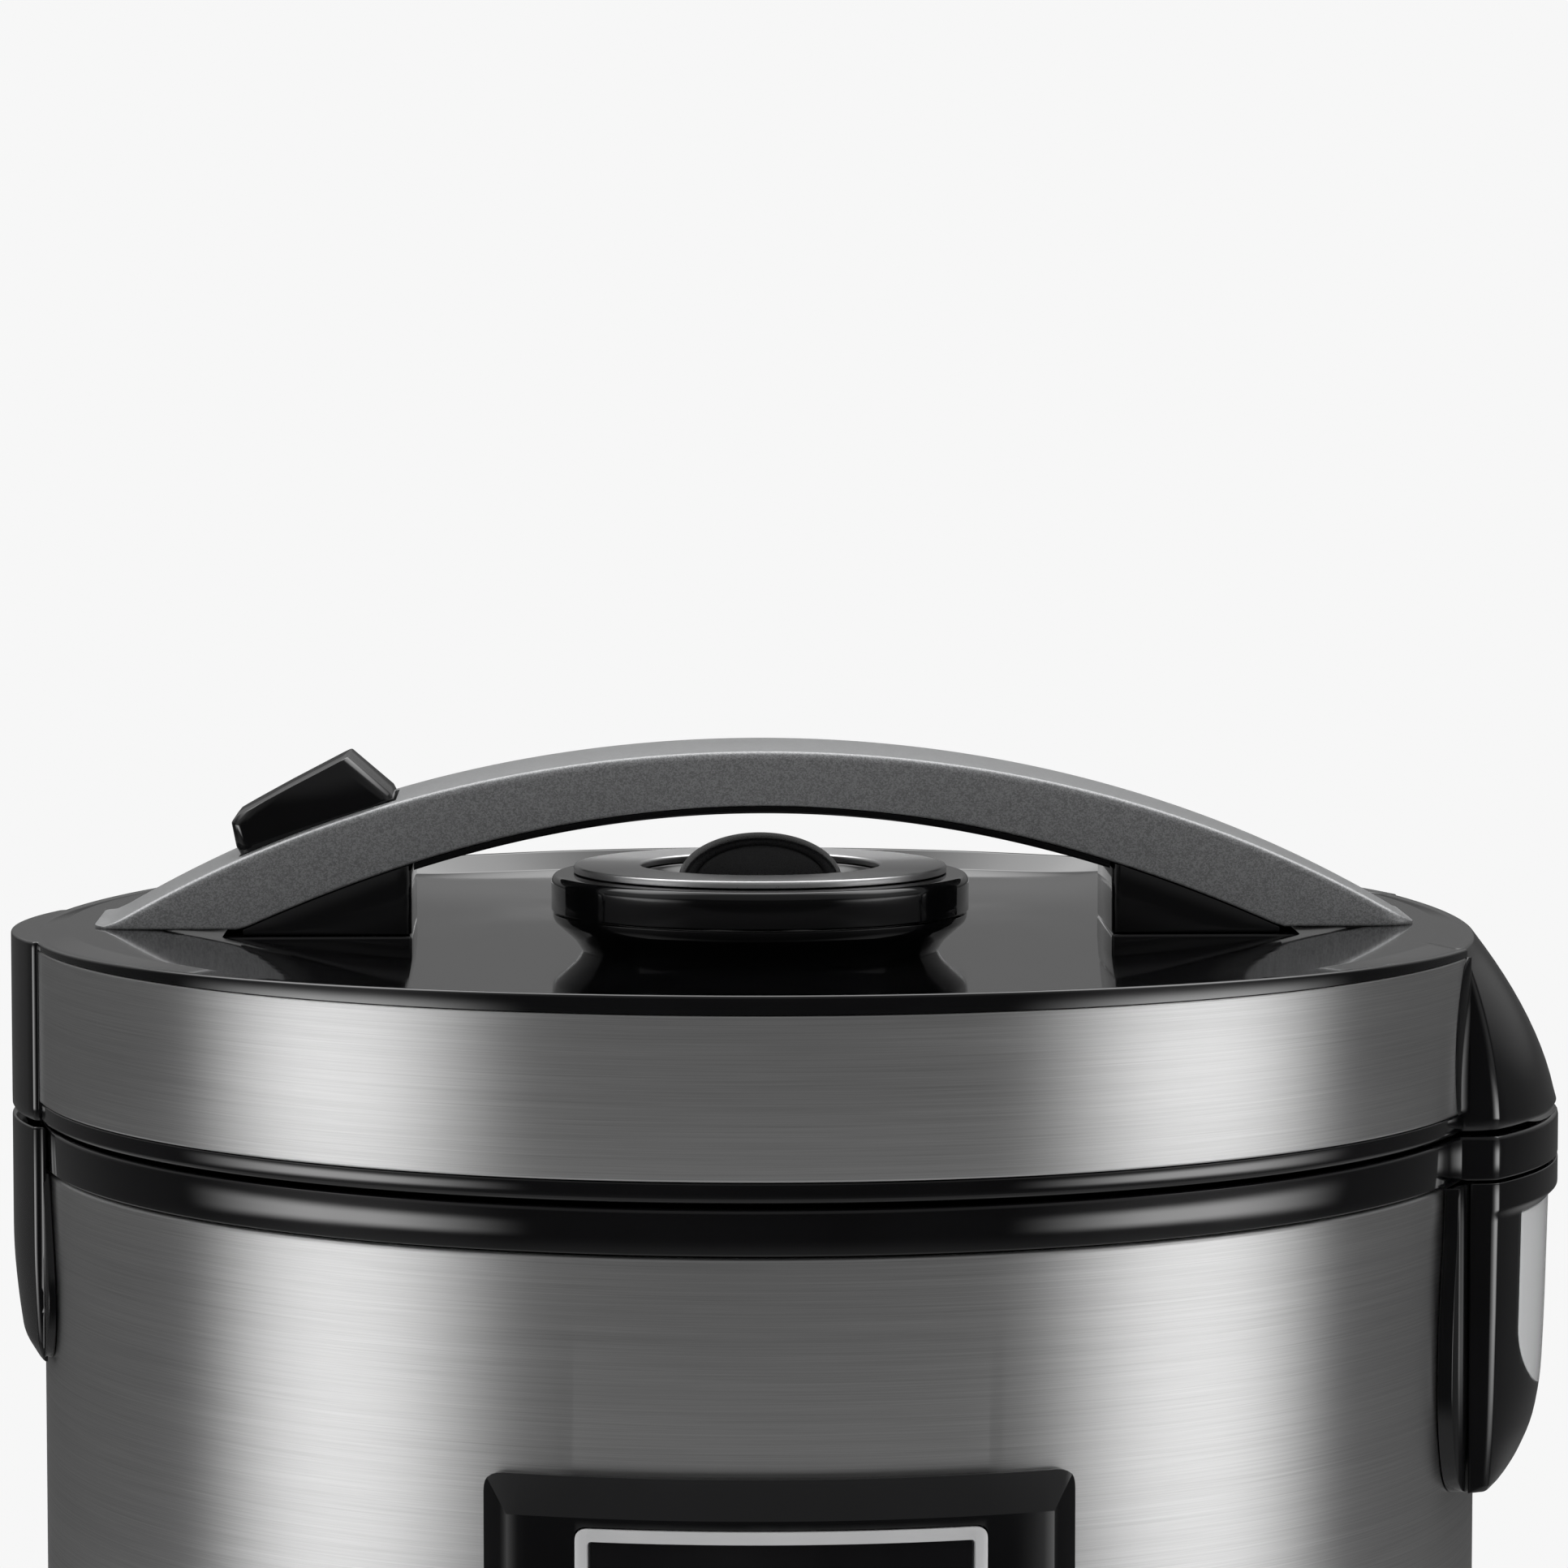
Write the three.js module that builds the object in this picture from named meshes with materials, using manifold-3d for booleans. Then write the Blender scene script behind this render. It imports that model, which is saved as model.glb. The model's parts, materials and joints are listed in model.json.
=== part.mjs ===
// Rice cooker: a steel drum with a hinged lid, a carrying arch over the steam vent, a latch on
// the left, a hinge block with a condensate cup on the right and a control panel at the front.
// Millimetres, +Z up, the front (control panel) faces -Y, the hinge is at +X.
// Every piece is built about the drum's axis; the whole group is then moved so that the origin
// is the centre of the overall footprint on the table.
import * as THREE from 'three';
import { mergeVertices } from 'three/addons/utils/BufferGeometryUtils.js';
import Module from 'manifold-3d';

const wasm = await Module();
wasm.setup();

// ---------------------------------------------------------------- driving dimensions
const FIT = 0.3;                    // gap between touching pieces
const ROUND = 40;                   // sides of the outer rounds
const ROUND_INSIDE = 32;            // sides of the rounds inside
const DRUM_R = 134;                 // outside of the steel drum
const STEEL = 0.8;                  // drum sheet, rolled edge included
const DRUM_LOW = 20;
const DRUM_TOP = 190;
const RING_TOP = 198.3;             // top of the body's upper ring
const LID_LOW = 199.3;              // underside of the lid: a 1 mm joint line
const BAND_LOW = 202.8;
const BAND_TOP = 231.1;
const RIM_TOP = 234.3;              // top of the lid's rim at the front and back
const RIM_FALL = 2;                 // how far it has dropped at the sides
const RIM_R = 136;
const BAND_R = 135.9;
const WALL = 2.4;                   // moulded wall thickness

const TAB_LATCH = { half: 29.5, corner: 133.6, middle: 140 };   // plan of the latch side
const TAB_HINGE = { half: 50, corner: 132, middle: 150 };       // plan of the hinge side

const DECK_Z = 227.4;               // dished top of the lid, at its middle
const DECK_FLAT = 50;               // |x| where the dish starts to rise
const DECK_EDGE = 113;              // |x| where it reaches its outer level
const DECK_EDGE_Z = 233.4;

const HINGE = { x: 141.4, z: 204.2 }; // lid hinge axis, parallel to Y
const PIN_R = 1.25;
const PIN_HOLE_R = 1.5;
const EYE_R = 2.4;                  // round ends of the body's hinge ears
const EAR_BASE = 136;               // the ears stand inboard of this, clear of the lid's edge
const LATCH = { x: -124, z: 219 };  // latch hook pivot, parallel to Y

const HANDLE_HALF = 18.1;           // half width of the carrying arch
const HANDLE_END = { left: 123.6, right: 121.4 };     // |x| of the arch's tips
const HANDLE_SEAT_Z = 233.3;        // level of the arch's flat end faces
const SUPPORT_IN = 64.8;            // inner faces of the arch supports
const SUPPORT_OUT = 97;
const SUPPORT_SEAM_Z = 232;
const SUPPORT_HALF = 17.4;

const BUTTON_TILT = THREE.MathUtils.degToRad(27.7);   // release button, square to the arch
const BUTTON_HALF = 12;
const BUTTON_PLACE = { x: -98.5, z: 253.4 };          // its upper left corner

const PANEL = { half: 51.2, low: 43, top: 152.8, base: 135.8, face: 139.3, bevel: 5.4, rise: 6.3 };
const WINDOW = { half: 34, low: 96, top: 144.7, bar: 2.1 };
const KEYS = [
  { name: 'key_upper_left', s: -16, z: 83, half: 13, tall: 5.5 },
  { name: 'key_upper_right', s: 16, z: 83, half: 13, tall: 5.5 },
  { name: 'key_lower_left', s: -16, z: 69, half: 13, tall: 5.5 },
  { name: 'key_lower_right', s: 16, z: 69, half: 13, tall: 5.5 },
  { name: 'key_start', s: 0, z: 54, half: 29, tall: 6 },
];
const KEY_FACE = 140;
const KEY_BACK = 133.5;

const CUP = { half: 39.7, low: 147.6, top: 183, shoulder: 162, inner: 137.2, wall: 1.4 };
const INLET = { half: 13.5, low: 32, top: 52, face: 136.4, back: 119 };

const FOOT = { r: 9, high: 7.9, at: 100 };
const SCREW_AT = 118;

// ---------------------------------------------------------------- materials
const paint = (color, roughness, metalness) =>
  new THREE.MeshStandardMaterial({ color, roughness, metalness });
const MATERIAL = {
  gloss: paint(0x0c0c0d, 0.18, 0),
  matte: paint(0x1b1b1d, 0.6, 0),
  brushed: paint(0xa9abad, 0.32, 1),
  silver: paint(0x8c8e91, 0.4, 0.7),
  trim: paint(0xc4c6c8, 0.25, 0.9),
  glass: paint(0x050506, 0.05, 0),
  clear: paint(0xe8eced, 0.08, 0),
  aluminium: paint(0xb9bbbd, 0.4, 1),
  coated: paint(0x2a2a2c, 0.5, 0.2),
  steel: paint(0x9a9c9e, 0.35, 1),
  rubber: paint(0x3a3a3c, 0.85, 0),
  silicone: paint(0xd9dcdc, 0.6, 0),
  board: paint(0x1d5a34, 0.55, 0),
  brass: paint(0xb08d4a, 0.35, 1),
};

// ---------------------------------------------------------------- solids
function signedVolume(position, index) {
  const [a, b, c] = [new THREE.Vector3(), new THREE.Vector3(), new THREE.Vector3()];
  let sum = 0;
  for (let i = 0; i < index.length; i += 3) {
    a.fromBufferAttribute(position, index[i]);
    b.fromBufferAttribute(position, index[i + 1]);
    c.fromBufferAttribute(position, index[i + 2]);
    sum += a.dot(b.cross(c)) / 6;
  }
  return sum;
}

/** A closed geometry as a solid, its shared corners merged and its faces turned outwards. */
function solid(geometry) {
  const bare = new THREE.BufferGeometry();
  bare.setAttribute('position', geometry.getAttribute('position'));
  bare.setIndex(geometry.getIndex());
  const merged = mergeVertices(bare, 1e-4);
  const all = merged.getIndex().array;
  const kept = [];
  for (let i = 0; i < all.length; i += 3) {
    const [a, b, c] = [all[i], all[i + 1], all[i + 2]];
    if (a !== b && b !== c && c !== a) kept.push(a, b, c);
  }
  const position = merged.getAttribute('position');
  if (signedVolume(position, kept) < 0) kept.reverse();
  return new wasm.Manifold(new wasm.Mesh({
    numProp: 3,
    vertProperties: Float32Array.from(position.array),
    triVerts: Uint32Array.from(kept),
  }));
}

const union = (first, ...rest) => rest.reduce((sum, next) => sum.add(next), first);
const without = (first, ...rest) => rest.reduce((sum, next) => sum.subtract(next), first);

/** Joins a run of matching outlines; place() puts each flat (u, v) outline into space. */
function loft(sections, loop = false) {
  const count = sections[0].points.length;
  const corners = sections.flatMap(({ points, place }) => points.map(([u, v]) => place(u, v)));
  const index = [];
  const spans = loop ? sections.length : sections.length - 1;
  for (let j = 0; j < spans; j += 1) {
    const here = j * count;
    const next = ((j + 1) % sections.length) * count;
    for (let i = 0; i < count; i += 1) {
      const k = (i + 1) % count;
      index.push(here + i, next + i, next + k, here + i, next + k, here + k);
    }
  }
  if (!loop) {
    const last = (sections.length - 1) * count;
    for (const [offset, section, flip] of [[0, sections[0], false], [last, sections.at(-1), true]]) {
      const flat = section.points.map(([u, v]) => new THREE.Vector2(u, v));
      const outline = THREE.ShapeUtils.isClockWise(flat) ? -1 : 1;
      for (const [a, b, c] of THREE.ShapeUtils.triangulateShape(flat, [])) {
        const forward = (outline > 0) !== flip;
        index.push(offset + a, offset + (forward ? b : c), offset + (forward ? c : b));
      }
    }
  }
  const geometry = new THREE.BufferGeometry().setFromPoints(corners);
  geometry.setIndex(index);
  return solid(geometry);
}

const around = (angle) => (r, z) => new THREE.Vector3(r * Math.cos(angle), r * Math.sin(angle), z);

/** Sweeps an outline of (radius, height) points about the drum's axis, through the angles. */
function sweep(angles, outlineAt, loop = false) {
  return loft(angles.map((angle) => ({ points: outlineAt(angle), place: around(angle) })), loop);
}

const turn = (outline, segments = ROUND) =>
  sweep(Array.from({ length: segments }, (_, i) => (i * 2 * Math.PI) / segments), () => outline, true);

/** A full round from the axis out, such as a disc. */
function lathe(outline, segments = ROUND_INSIDE) {
  const points = outline.map(([r, z]) => new THREE.Vector2(r, z));
  const geometry = new THREE.LatheGeometry(points, segments);
  geometry.rotateX(Math.PI / 2);
  return solid(geometry);
}

const box = (x0, x1, y0, y1, z0, z1) => solid(
  new THREE.BoxGeometry(x1 - x0, y1 - y0, z1 - z0)
    .translate((x0 + x1) / 2, (y0 + y1) / 2, (z0 + z1) / 2),
);

function extrude(outline, depth) {
  const shape = new THREE.Shape(outline.map(([u, v]) => new THREE.Vector2(u, v)));
  return new THREE.ExtrudeGeometry(shape, { depth, bevelEnabled: false, curveSegments: 8 });
}

const prismZ = (outline, z0, z1) => solid(extrude(outline, z1 - z0).translate(0, 0, z0));
const prismY = (outline, y0, y1) =>
  solid(extrude(outline, y1 - y0).rotateX(Math.PI / 2).translate(0, y1, 0));

function prismX(outline, x0, x1) {
  const axes = new THREE.Matrix4().makeBasis(
    new THREE.Vector3(0, 1, 0), new THREE.Vector3(0, 0, 1), new THREE.Vector3(1, 0, 0),
  );
  return solid(extrude(outline, x1 - x0).applyMatrix4(axes).translate(x0, 0, 0));
}

/** A round bar along Y through (x, z). */
const barY = (r, x, z, y0, y1, sides = 16) => solid(
  new THREE.CylinderGeometry(r, r, y1 - y0, sides).translate(x, (y0 + y1) / 2, z),
);

/** A round post along Z through (x, y). */
const postZ = (r, x, y, z0, z1, sides = 24) => solid(
  new THREE.CylinderGeometry(r, r, z1 - z0, sides).rotateX(Math.PI / 2)
    .translate(x, y, (z0 + z1) / 2),
);

/** A wire coil; the axis runs up from the origin and place() moves it. */
function coil({ radius, wire, turns, height, place }) {
  class Helix extends THREE.Curve {
    getPoint(t, target = new THREE.Vector3()) {
      const a = t * turns * 2 * Math.PI;
      return target.set(radius * Math.cos(a), radius * Math.sin(a), wire + t * (height - 2 * wire));
    }
  }
  const section = new THREE.Shape();
  section.absarc(0, 0, wire, 0, 2 * Math.PI, false);
  const geometry = new THREE.ExtrudeGeometry(section, {
    extrudePath: new Helix(), steps: Math.round(turns * 9), curveSegments: 2, bevelEnabled: false,
  });
  return solid(place(geometry));
}

const mirrorX = (outline) => outline.map(([x, z]) => [-x, z]);
const range = (from, to, count) =>
  Array.from({ length: count + 1 }, (_, i) => from + ((to - from) * i) / count);

// ---------------------------------------------------------------- plan outlines
/** Distance from the drum's axis to a tab's outer face, along a direction at an angle from the tab. */
function tabReach(angle, { half, corner, middle }) {
  const centre = (middle ** 2 - corner ** 2 - half ** 2) / (2 * (middle - corner));
  const radius = middle - centre;
  const across = Math.abs(Math.sin(angle));
  const face = centre * Math.cos(angle) + Math.sqrt(radius ** 2 - (centre * across) ** 2);
  return Math.min(face, half / Math.max(across, 1e-6));
}

const fromLatch = (angle) => Math.PI - Math.abs(angle);
const inTab = (offset, tab, radius) => Math.abs(offset) < Math.asin(tab.half / radius) + 1e-6;

const AT_LATCH_SIDES = [167.4, 167.55, 168.6];
const AT_HINGE_SIDES = [18.7, 20.74, 21.55, 21.7];

/** Angles all round, close together where a tab's sides and corners are. */
function ringAngles(sides) {
  const step = 360 / ROUND;
  const degrees = range(-180 + step, 180, ROUND - 1);
  for (const a of sides) degrees.push(-a, a);
  return degrees.sort((a, b) => a - b).map((a) => THREE.MathUtils.degToRad(a));
}

const deckHeight = (x) => {
  const t = THREE.MathUtils.clamp((Math.abs(x) - DECK_FLAT) / (DECK_EDGE - DECK_FLAT), 0, 1);
  return DECK_Z + (DECK_EDGE_Z - DECK_Z) * t * t * (3 - 2 * t);
};

/** Top of the lid's rim, which falls away a little towards the sides. */
const rimHeight = (x) => RIM_TOP - RIM_FALL * (x / DRUM_R) ** 2;

/** |x| of the arch's tip on the side that x is on. */
const handleEnd = (x) => (x < 0 ? HANDLE_END.left : HANDLE_END.right);

/** Plan of the lid's hinge cover at a height: it leans in towards the rim. */
const hingeCoverAt = (z) => ({
  half: TAB_HINGE.half,
  corner: TAB_HINGE.corner - 0.0058 * Math.max(0, z - LID_LOW) ** 2,
  middle: TAB_HINGE.middle - 0.0306 * Math.max(0, z - 195) ** 1.75,
});

const archTop = (x) => {
  const t = x / DRUM_R;
  return DRUM_TOP + DRUM_R * (0.5678 - 0.2614 * t ** 2 - 0.0407 * t ** 4);
};
const archLow = (x) => {
  const t = x / DRUM_R;
  return Math.max(HANDLE_SEAT_Z, DRUM_TOP + DRUM_R * (0.4921 - 0.3405 * t ** 2 + 0.0257 * t ** 4));
};

// ---------------------------------------------------------------- scene
const cooker = new THREE.Group();
cooker.name = 'rice_cooker';
const assembly = { base: new THREE.Group(), lid: new THREE.Group() };
cooker.add(assembly.base, assembly.lid);

function piece(group, name, shape, material) {
  const mesh = shape.getMesh();
  const geometry = new THREE.BufferGeometry();
  geometry.setAttribute('position', new THREE.BufferAttribute(Float32Array.from(mesh.vertProperties), 3));
  geometry.setIndex(Array.from(mesh.triVerts));
  geometry.computeVertexNormals();
  const node = new THREE.Mesh(geometry, material);
  node.name = name;
  group.add(node);
}

const inBase = (name, shape, material) => piece(assembly.base, name, shape, material);
const inLid = (name, shape, material) => piece(assembly.lid, name, shape, material);

// ---------------------------------------------------------------- body
function steelBody() {
  const inner = DRUM_R - STEEL;
  const shell = turn([
    [inner, DRUM_LOW], [DRUM_R, DRUM_LOW], [DRUM_R, DRUM_TOP - 0.6], [DRUM_R - 0.4, DRUM_TOP],
    [inner, DRUM_TOP],
  ]);
  return without(
    shell,
    box(-36, 36, -150, -100, 47, 140),
    box(100, 150, -INLET.half - 0.4, INLET.half + 0.4, INLET.low - 0.4, INLET.top + 0.4),
  );
}

function upperRing() {
  const low = DRUM_TOP + FIT;
  const ring = sweep(ringAngles(AT_HINGE_SIDES), (angle) => {
    const outer = Math.max(DRUM_R + 0.5, tabReach(angle, TAB_HINGE));
    const reach = inTab(angle, TAB_HINGE, DRUM_R + 0.5) ? outer : DRUM_R + 0.5;
    return [
      [106.5, 194.2], [112.2, 194.2], [112.2, RING_TOP], [reach, RING_TOP], [reach, low],
      [131.8, low], [131.8, 182], [129.8, 182], [129.8, 195.8], [114.5, 195.8],
      [114.5, 191.5], [106.5, 191.5],
    ];
  }, true);
  const eye = range(-Math.PI / 2, Math.PI / 2, 6)
    .map((a) => [HINGE.x + EYE_R * Math.cos(a), HINGE.z + EYE_R * Math.sin(a)]);
  const ear = [[EAR_BASE, HINGE.z - EYE_R], ...eye, [130, HINGE.z + EYE_R], [130, 192], [EAR_BASE, 192]];
  const ears = [prismY(ear, -18.3, -12.8), prismY(ear, 12.8, 18.3)];
  const pocket = box(-133.6, -127.5, -7, 7, 180, 200);
  return without(
    union(without(ring, hingeScoop()), ...ears),
    barY(PIN_HOLE_R, HINGE.x, HINGE.z, -20, 20),
    pocket,
  );
}

/** The hollow that the lid's outer edge turns down into as the lid opens. */
function hingeScoop() {
  const drop = HINGE.z - LID_LOW;
  const reach = (y) => Math.hypot(Math.max(0, hingeFaceAt(y) - HINGE.x), drop) + 0.4;
  const stops = range(-34, 34, 10);
  return solid(new THREE.LatheGeometry([
    new THREE.Vector2(0, stops[0]),
    ...stops.map((y) => new THREE.Vector2(reach(y), y)),
    new THREE.Vector2(0, stops.at(-1)),
  ], 40).translate(HINGE.x, 0, HINGE.z));
}

/** x of the hinge side's outer face at a distance y from the middle. */
function hingeFaceAt(y) {
  const { half, corner, middle } = TAB_HINGE;
  return middle - (middle - corner) * (y / half) ** 2;
}

function latchHousing() {
  const inner = DRUM_R + 0.8;
  const levels = [[198.3, 0], [173, 0], [164, 0.9], [157.5, 1.9], [155, 4]];
  const half = Math.asin(TAB_LATCH.half / DRUM_R);
  const shellAt = (angle) => {
    const outer = levels.map(([z, inset]) => {
      const tab = { ...TAB_LATCH, middle: TAB_LATCH.middle - inset, corner: TAB_LATCH.corner - inset / 3 };
      return [Math.max(inner + 0.6, tabReach(Math.PI - angle, tab)), z];
    });
    return [...outer, [inner, 155], [inner, 198.3]];
  };
  const main = sweep(range(Math.PI - half, Math.PI + half, 14), shellAt);
  const flange = sweep(range(Math.PI - 0.275, Math.PI + 0.275, 10), () => [
    [DRUM_R + FIT, 156], [DRUM_R + 1.4, 156], [DRUM_R + 1.4, 189.7], [DRUM_R + FIT, 189.7],
  ]);
  const trim = prismX([
    [-29.4, 200], [-29.4, 189.8], [-36, 166], [-36, 161], [-32, 156], [-26, 154],
    [26, 154], [32, 156], [36, 161], [36, 166], [29.4, 189.8], [29.4, 200],
  ], -150, -100);
  return union(main, flange).intersect(trim);
}

function hingeFlange() {
  const shell = sweep(range(-0.46, 0.46, 16), () => [
    [DRUM_R + FIT, 133], [DRUM_R + 2.5, 133], [DRUM_R + 2.5, 189.7], [DRUM_R + FIT, 189.7],
  ]);
  const trim = prismX([
    [-56.5, 191], [-56.5, 184], [-59, 165], [-59, 146], [-56, 137], [-50, 133],
    [50, 133], [56, 137], [59, 146], [59, 165], [56.5, 184], [56.5, 191],
  ], 100, 150);
  return shell.intersect(trim);
}

/** Outer face of the hinge housing below the joint line: a ledge, then a face that tapers in. */
const HOUSING_LEVELS = [
  [DRUM_TOP - FIT, 150, 132], [184.6, 150, 132], [183.2, 148.2, 131.9], [160, 147.6, 131.6],
  [148, 147, 131.4], [140.5, 145.4, 131.2], [135.4, 142.4, 131], [133, 139.6, 130.8],
];
const HOUSING_INNER = DRUM_R + 2.8;

function housingSolid(outset, low, high) {
  const half = Math.asin(TAB_HINGE.half / HOUSING_INNER);
  return sweep(range(-half, half, 14), (angle) => {
    const outer = HOUSING_LEVELS.map(([z, middle, corner]) => {
      const tab = { half: TAB_HINGE.half, middle: middle + outset, corner: corner + outset };
      return [Math.max(HOUSING_INNER + 0.4, tabReach(angle, tab)), z];
    });
    return [...outer, [HOUSING_INNER, 133], [HOUSING_INNER, DRUM_TOP - FIT]];
  }).intersect(box(100, 160, -60, 60, low, high));
}

/** The condensate cup's outline seen from the hinge side, in (y, z). */
function cupOutline(inset, low, top) {
  const half = CUP.half - inset;
  const bend = range(0, Math.PI / 2, 5).map((a) => [
    half - 27 * (1 - Math.cos(a)), CUP.shoulder - (CUP.shoulder - low) * Math.sin(a),
  ]);
  const right = [[half, top], ...bend];
  return [...right, ...right.toReversed().map(([y, z]) => [-y, z])];
}

function hingeHousing() {
  const notch = prismX(cupOutline(-FIT, CUP.low - FIT, CUP.top + 0.2), 100, 160);
  return without(housingSolid(0, 130, 191), notch);
}

function drainSpout() {
  const chute = box(139.6, 144.4, -7, 7, 172, CUP.top - 0.1);
  return without(chute, box(140.8, 143.2, -5.8, 5.8, 170, 190));
}

function condensateCup() {
  const outline = (inset, low, top) => prismX(cupOutline(inset, low, top), 100, 160);
  const clear = sweep(range(-0.45, 0.45, 12), () => [
    [100, 140], [CUP.inner, 140], [CUP.inner, 190], [100, 190],
  ]);
  const cavityBack = sweep(range(-0.45, 0.45, 12), () => [
    [100, 140], [CUP.inner + CUP.wall, 140], [CUP.inner + CUP.wall, 190], [100, 190],
  ]);
  const outer = without(housingSolid(0, 130, 183.1).intersect(outline(0, CUP.low, CUP.top)), clear);
  const cavity = without(
    housingSolid(-CUP.wall, 130, 190).intersect(outline(CUP.wall, CUP.low + CUP.wall, CUP.top + 5)),
    cavityBack,
  );
  return without(outer, cavity, box(130, 139.2, -9.5, 9.5, 170.5, 190));
}

// ---------------------------------------------------------------- inside the body
function innerPot() {
  const wall = 1.6;
  const r = 104;
  const low = 62;
  const round = 14;
  const bend = (radius, z0) => range(0, Math.PI / 2, 3).map((a) => [
    r - round + radius * Math.sin(a), z0 + round - radius * Math.cos(a),
  ]);
  const outside = bend(round, low);
  const inside = bend(round - wall, low);
  return lathe([
    [0, low], ...outside, [r, 194.5], [111.6, 194.5], [111.6, 196],
    [r - wall, 196], ...inside.toReversed(), [0, low + wall],
  ]);
}

const innerCan = () => turn([
  [22, 49.4], [107.9, 49.4], [107.9, 190.2], [113.8, 190.2], [113.8, 191.2], [107.1, 191.2],
  [107.1, 50.2], [22, 50.2],
], ROUND_INSIDE);

function heatingPlate() {
  const disc = turn([[20, 52.5], [86, 52.5], [86, 59], [82, 61.7], [20, 61.7]], 28);
  const element = turn([[58, 50.6], [68, 50.6], [68, 53], [58, 53]], 24);
  return union(disc, element);
}

const sensorCup = () => lathe([
  [0, 43], [4.5, 43], [4.5, 55], [16.5, 55], [16.5, 60.6], [15.4, 61.7], [0, 61.7],
], 24);

function sensorBracket() {
  const strap = box(-34, 34, -9, 9, 37, 38.4);
  const legs = [box(-34, -32.6, -9, 9, 37, 49), box(32.6, 34, -9, 9, 37, 49)];
  return without(union(strap, ...legs), postZ(5.2, 0, 0, 30, 45));
}

function basePlate() {
  const disc = lathe([[0, 8.2], [125.8, 8.2], [125.8, 10.7], [0, 10.7]], ROUND_INSIDE);
  const holes = screwPlaces().map(([x, y]) => postZ(2.1, x, y, 0, 20, 12));
  const slots = range(-5, 5, 10).map((i) => box(i * 9 - 2, i * 9 + 2, -24, 24, 0, 20));
  return without(disc, ...holes, ...slots);
}

function baseRing() {
  const ring = turn([
    [132.4, 30], [130.8, 30], [130.8, 14], [112, 14], [112, 11], [126.2, 11], [126.2, 7.8],
    [131.4, 7.8], [134.4, 12], [134.4, DRUM_LOW - FIT], [132.4, DRUM_LOW - FIT],
  ]);
  const holes = screwPlaces().map(([x, y]) => postZ(2.1, x, y, 0, 20, 12));
  return without(ring, ...holes);
}

function screwPlaces() {
  return range(0, 2, 2).map((i) => {
    const a = THREE.MathUtils.degToRad(30 + 120 * i);
    return [SCREW_AT * Math.cos(a), SCREW_AT * Math.sin(a)];
  });
}

function powerInlet() {
  const { half, low, top, face, back } = INLET;
  const body = box(back, face - 1, -half, half, low, top);
  const flange = box(face - 2, face, -half - 3, half + 3, low - 3.5, top + 3.5);
  const recess = box(back + 3, face + 5, -half + 2.5, half - 2.5, low + 3, top - 3);
  const pinHoles = inletPins().map(({ y, z }) =>
    box(back - 5, back + 5, y - 1.4, y + 1.4, z - 2.4, z + 2.4));
  return without(union(body, flange), recess, ...pinHoles);
}

const inletPins = () => [{ y: -7, z: 40 }, { y: 0, z: 44.5 }, { y: 7, z: 40 }];

function mainBoard() {
  const board = box(-45, 35, 30, 90, 24, 25.6);
  const parts = [
    box(-38, -18, 38, 56, 25, 41), box(-8, 12, 40, 55, 25, 37),
    postZ(6, 24, 50, 25, 42, 16), postZ(5, -30, 76, 25, 38, 16), box(-10, 20, 68, 80, 25, 32),
  ];
  const posts = [[-40, 35], [30, 35], [-40, 85], [30, 85]].map(([x, y]) => postZ(3, x, y, 11, 24.5, 12));
  return union(board, ...parts, ...posts);
}

function displayBoard() {
  const board = box(-33, 33, -126.6, -125, 50, 138);
  const screen = box(-27, 27, -131, -126, 102, 134);
  const switches = KEYS.map(({ s, z }) => box(s - 3, s + 3, -130, -126, z - 3, z + 3));
  return union(board, screen, ...switches);
}

// ---------------------------------------------------------------- control panel
const front = -Math.PI / 2;
const panelAngle = (s) => front + s / PANEL.base;

function panelBlock(half, r0, r1, low, top, steps = 12) {
  return sweep(range(panelAngle(-half), panelAngle(half), steps), () => [
    [r0, low], [r1, low], [r1, top], [r0, top],
  ]);
}

function keyBlock({ s, z, half, tall }, grow, r0, r1) {
  const angles = range(panelAngle(s - half - grow), panelAngle(s + half + grow), half > 20 ? 8 : 4);
  return sweep(angles, () => [
    [r0, z - tall - grow], [r1, z - tall - grow], [r1, z + tall + grow], [r0, z + tall + grow],
  ]);
}

function panelBezel() {
  const { half, low, top, base, face, bevel, rise } = PANEL;
  const stops = [-half, ...range(-half + bevel, half - bevel, 14), half];
  const shell = sweep(stops.map(panelAngle), (angle) => {
    const s = Math.abs(angle - front) * base;
    const k = THREE.MathUtils.clamp((half - s) / bevel, 0, 1);
    const r = base + (face - base) * k;
    return [
      [DRUM_R + FIT, low], [base, low], [r, low + rise * k], [r, top - rise * k],
      [base, top], [DRUM_R + FIT, top],
    ];
  });
  const grow = 0.35;
  const window = panelBlock(WINDOW.half + FIT, 137, 145, WINDOW.low - FIT, WINDOW.top + FIT);
  const display = panelBlock(29, 130, 145, 101, 137);
  return without(shell, window, display, ...KEYS.map((key) => keyBlock(key, grow, 130, 145)));
}

function panelFrame() {
  const { half, low, top, bar } = WINDOW;
  const outer = panelBlock(half, 137.3, 139.8, low, top);
  return without(outer, panelBlock(half - bar, 130, 145, low + bar, top - bar));
}

function panelGlass() {
  const { half, low, top, bar } = WINDOW;
  const gap = bar + FIT;
  return panelBlock(half - gap, 137.3, 139.1, low + gap, top - gap);
}

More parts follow.
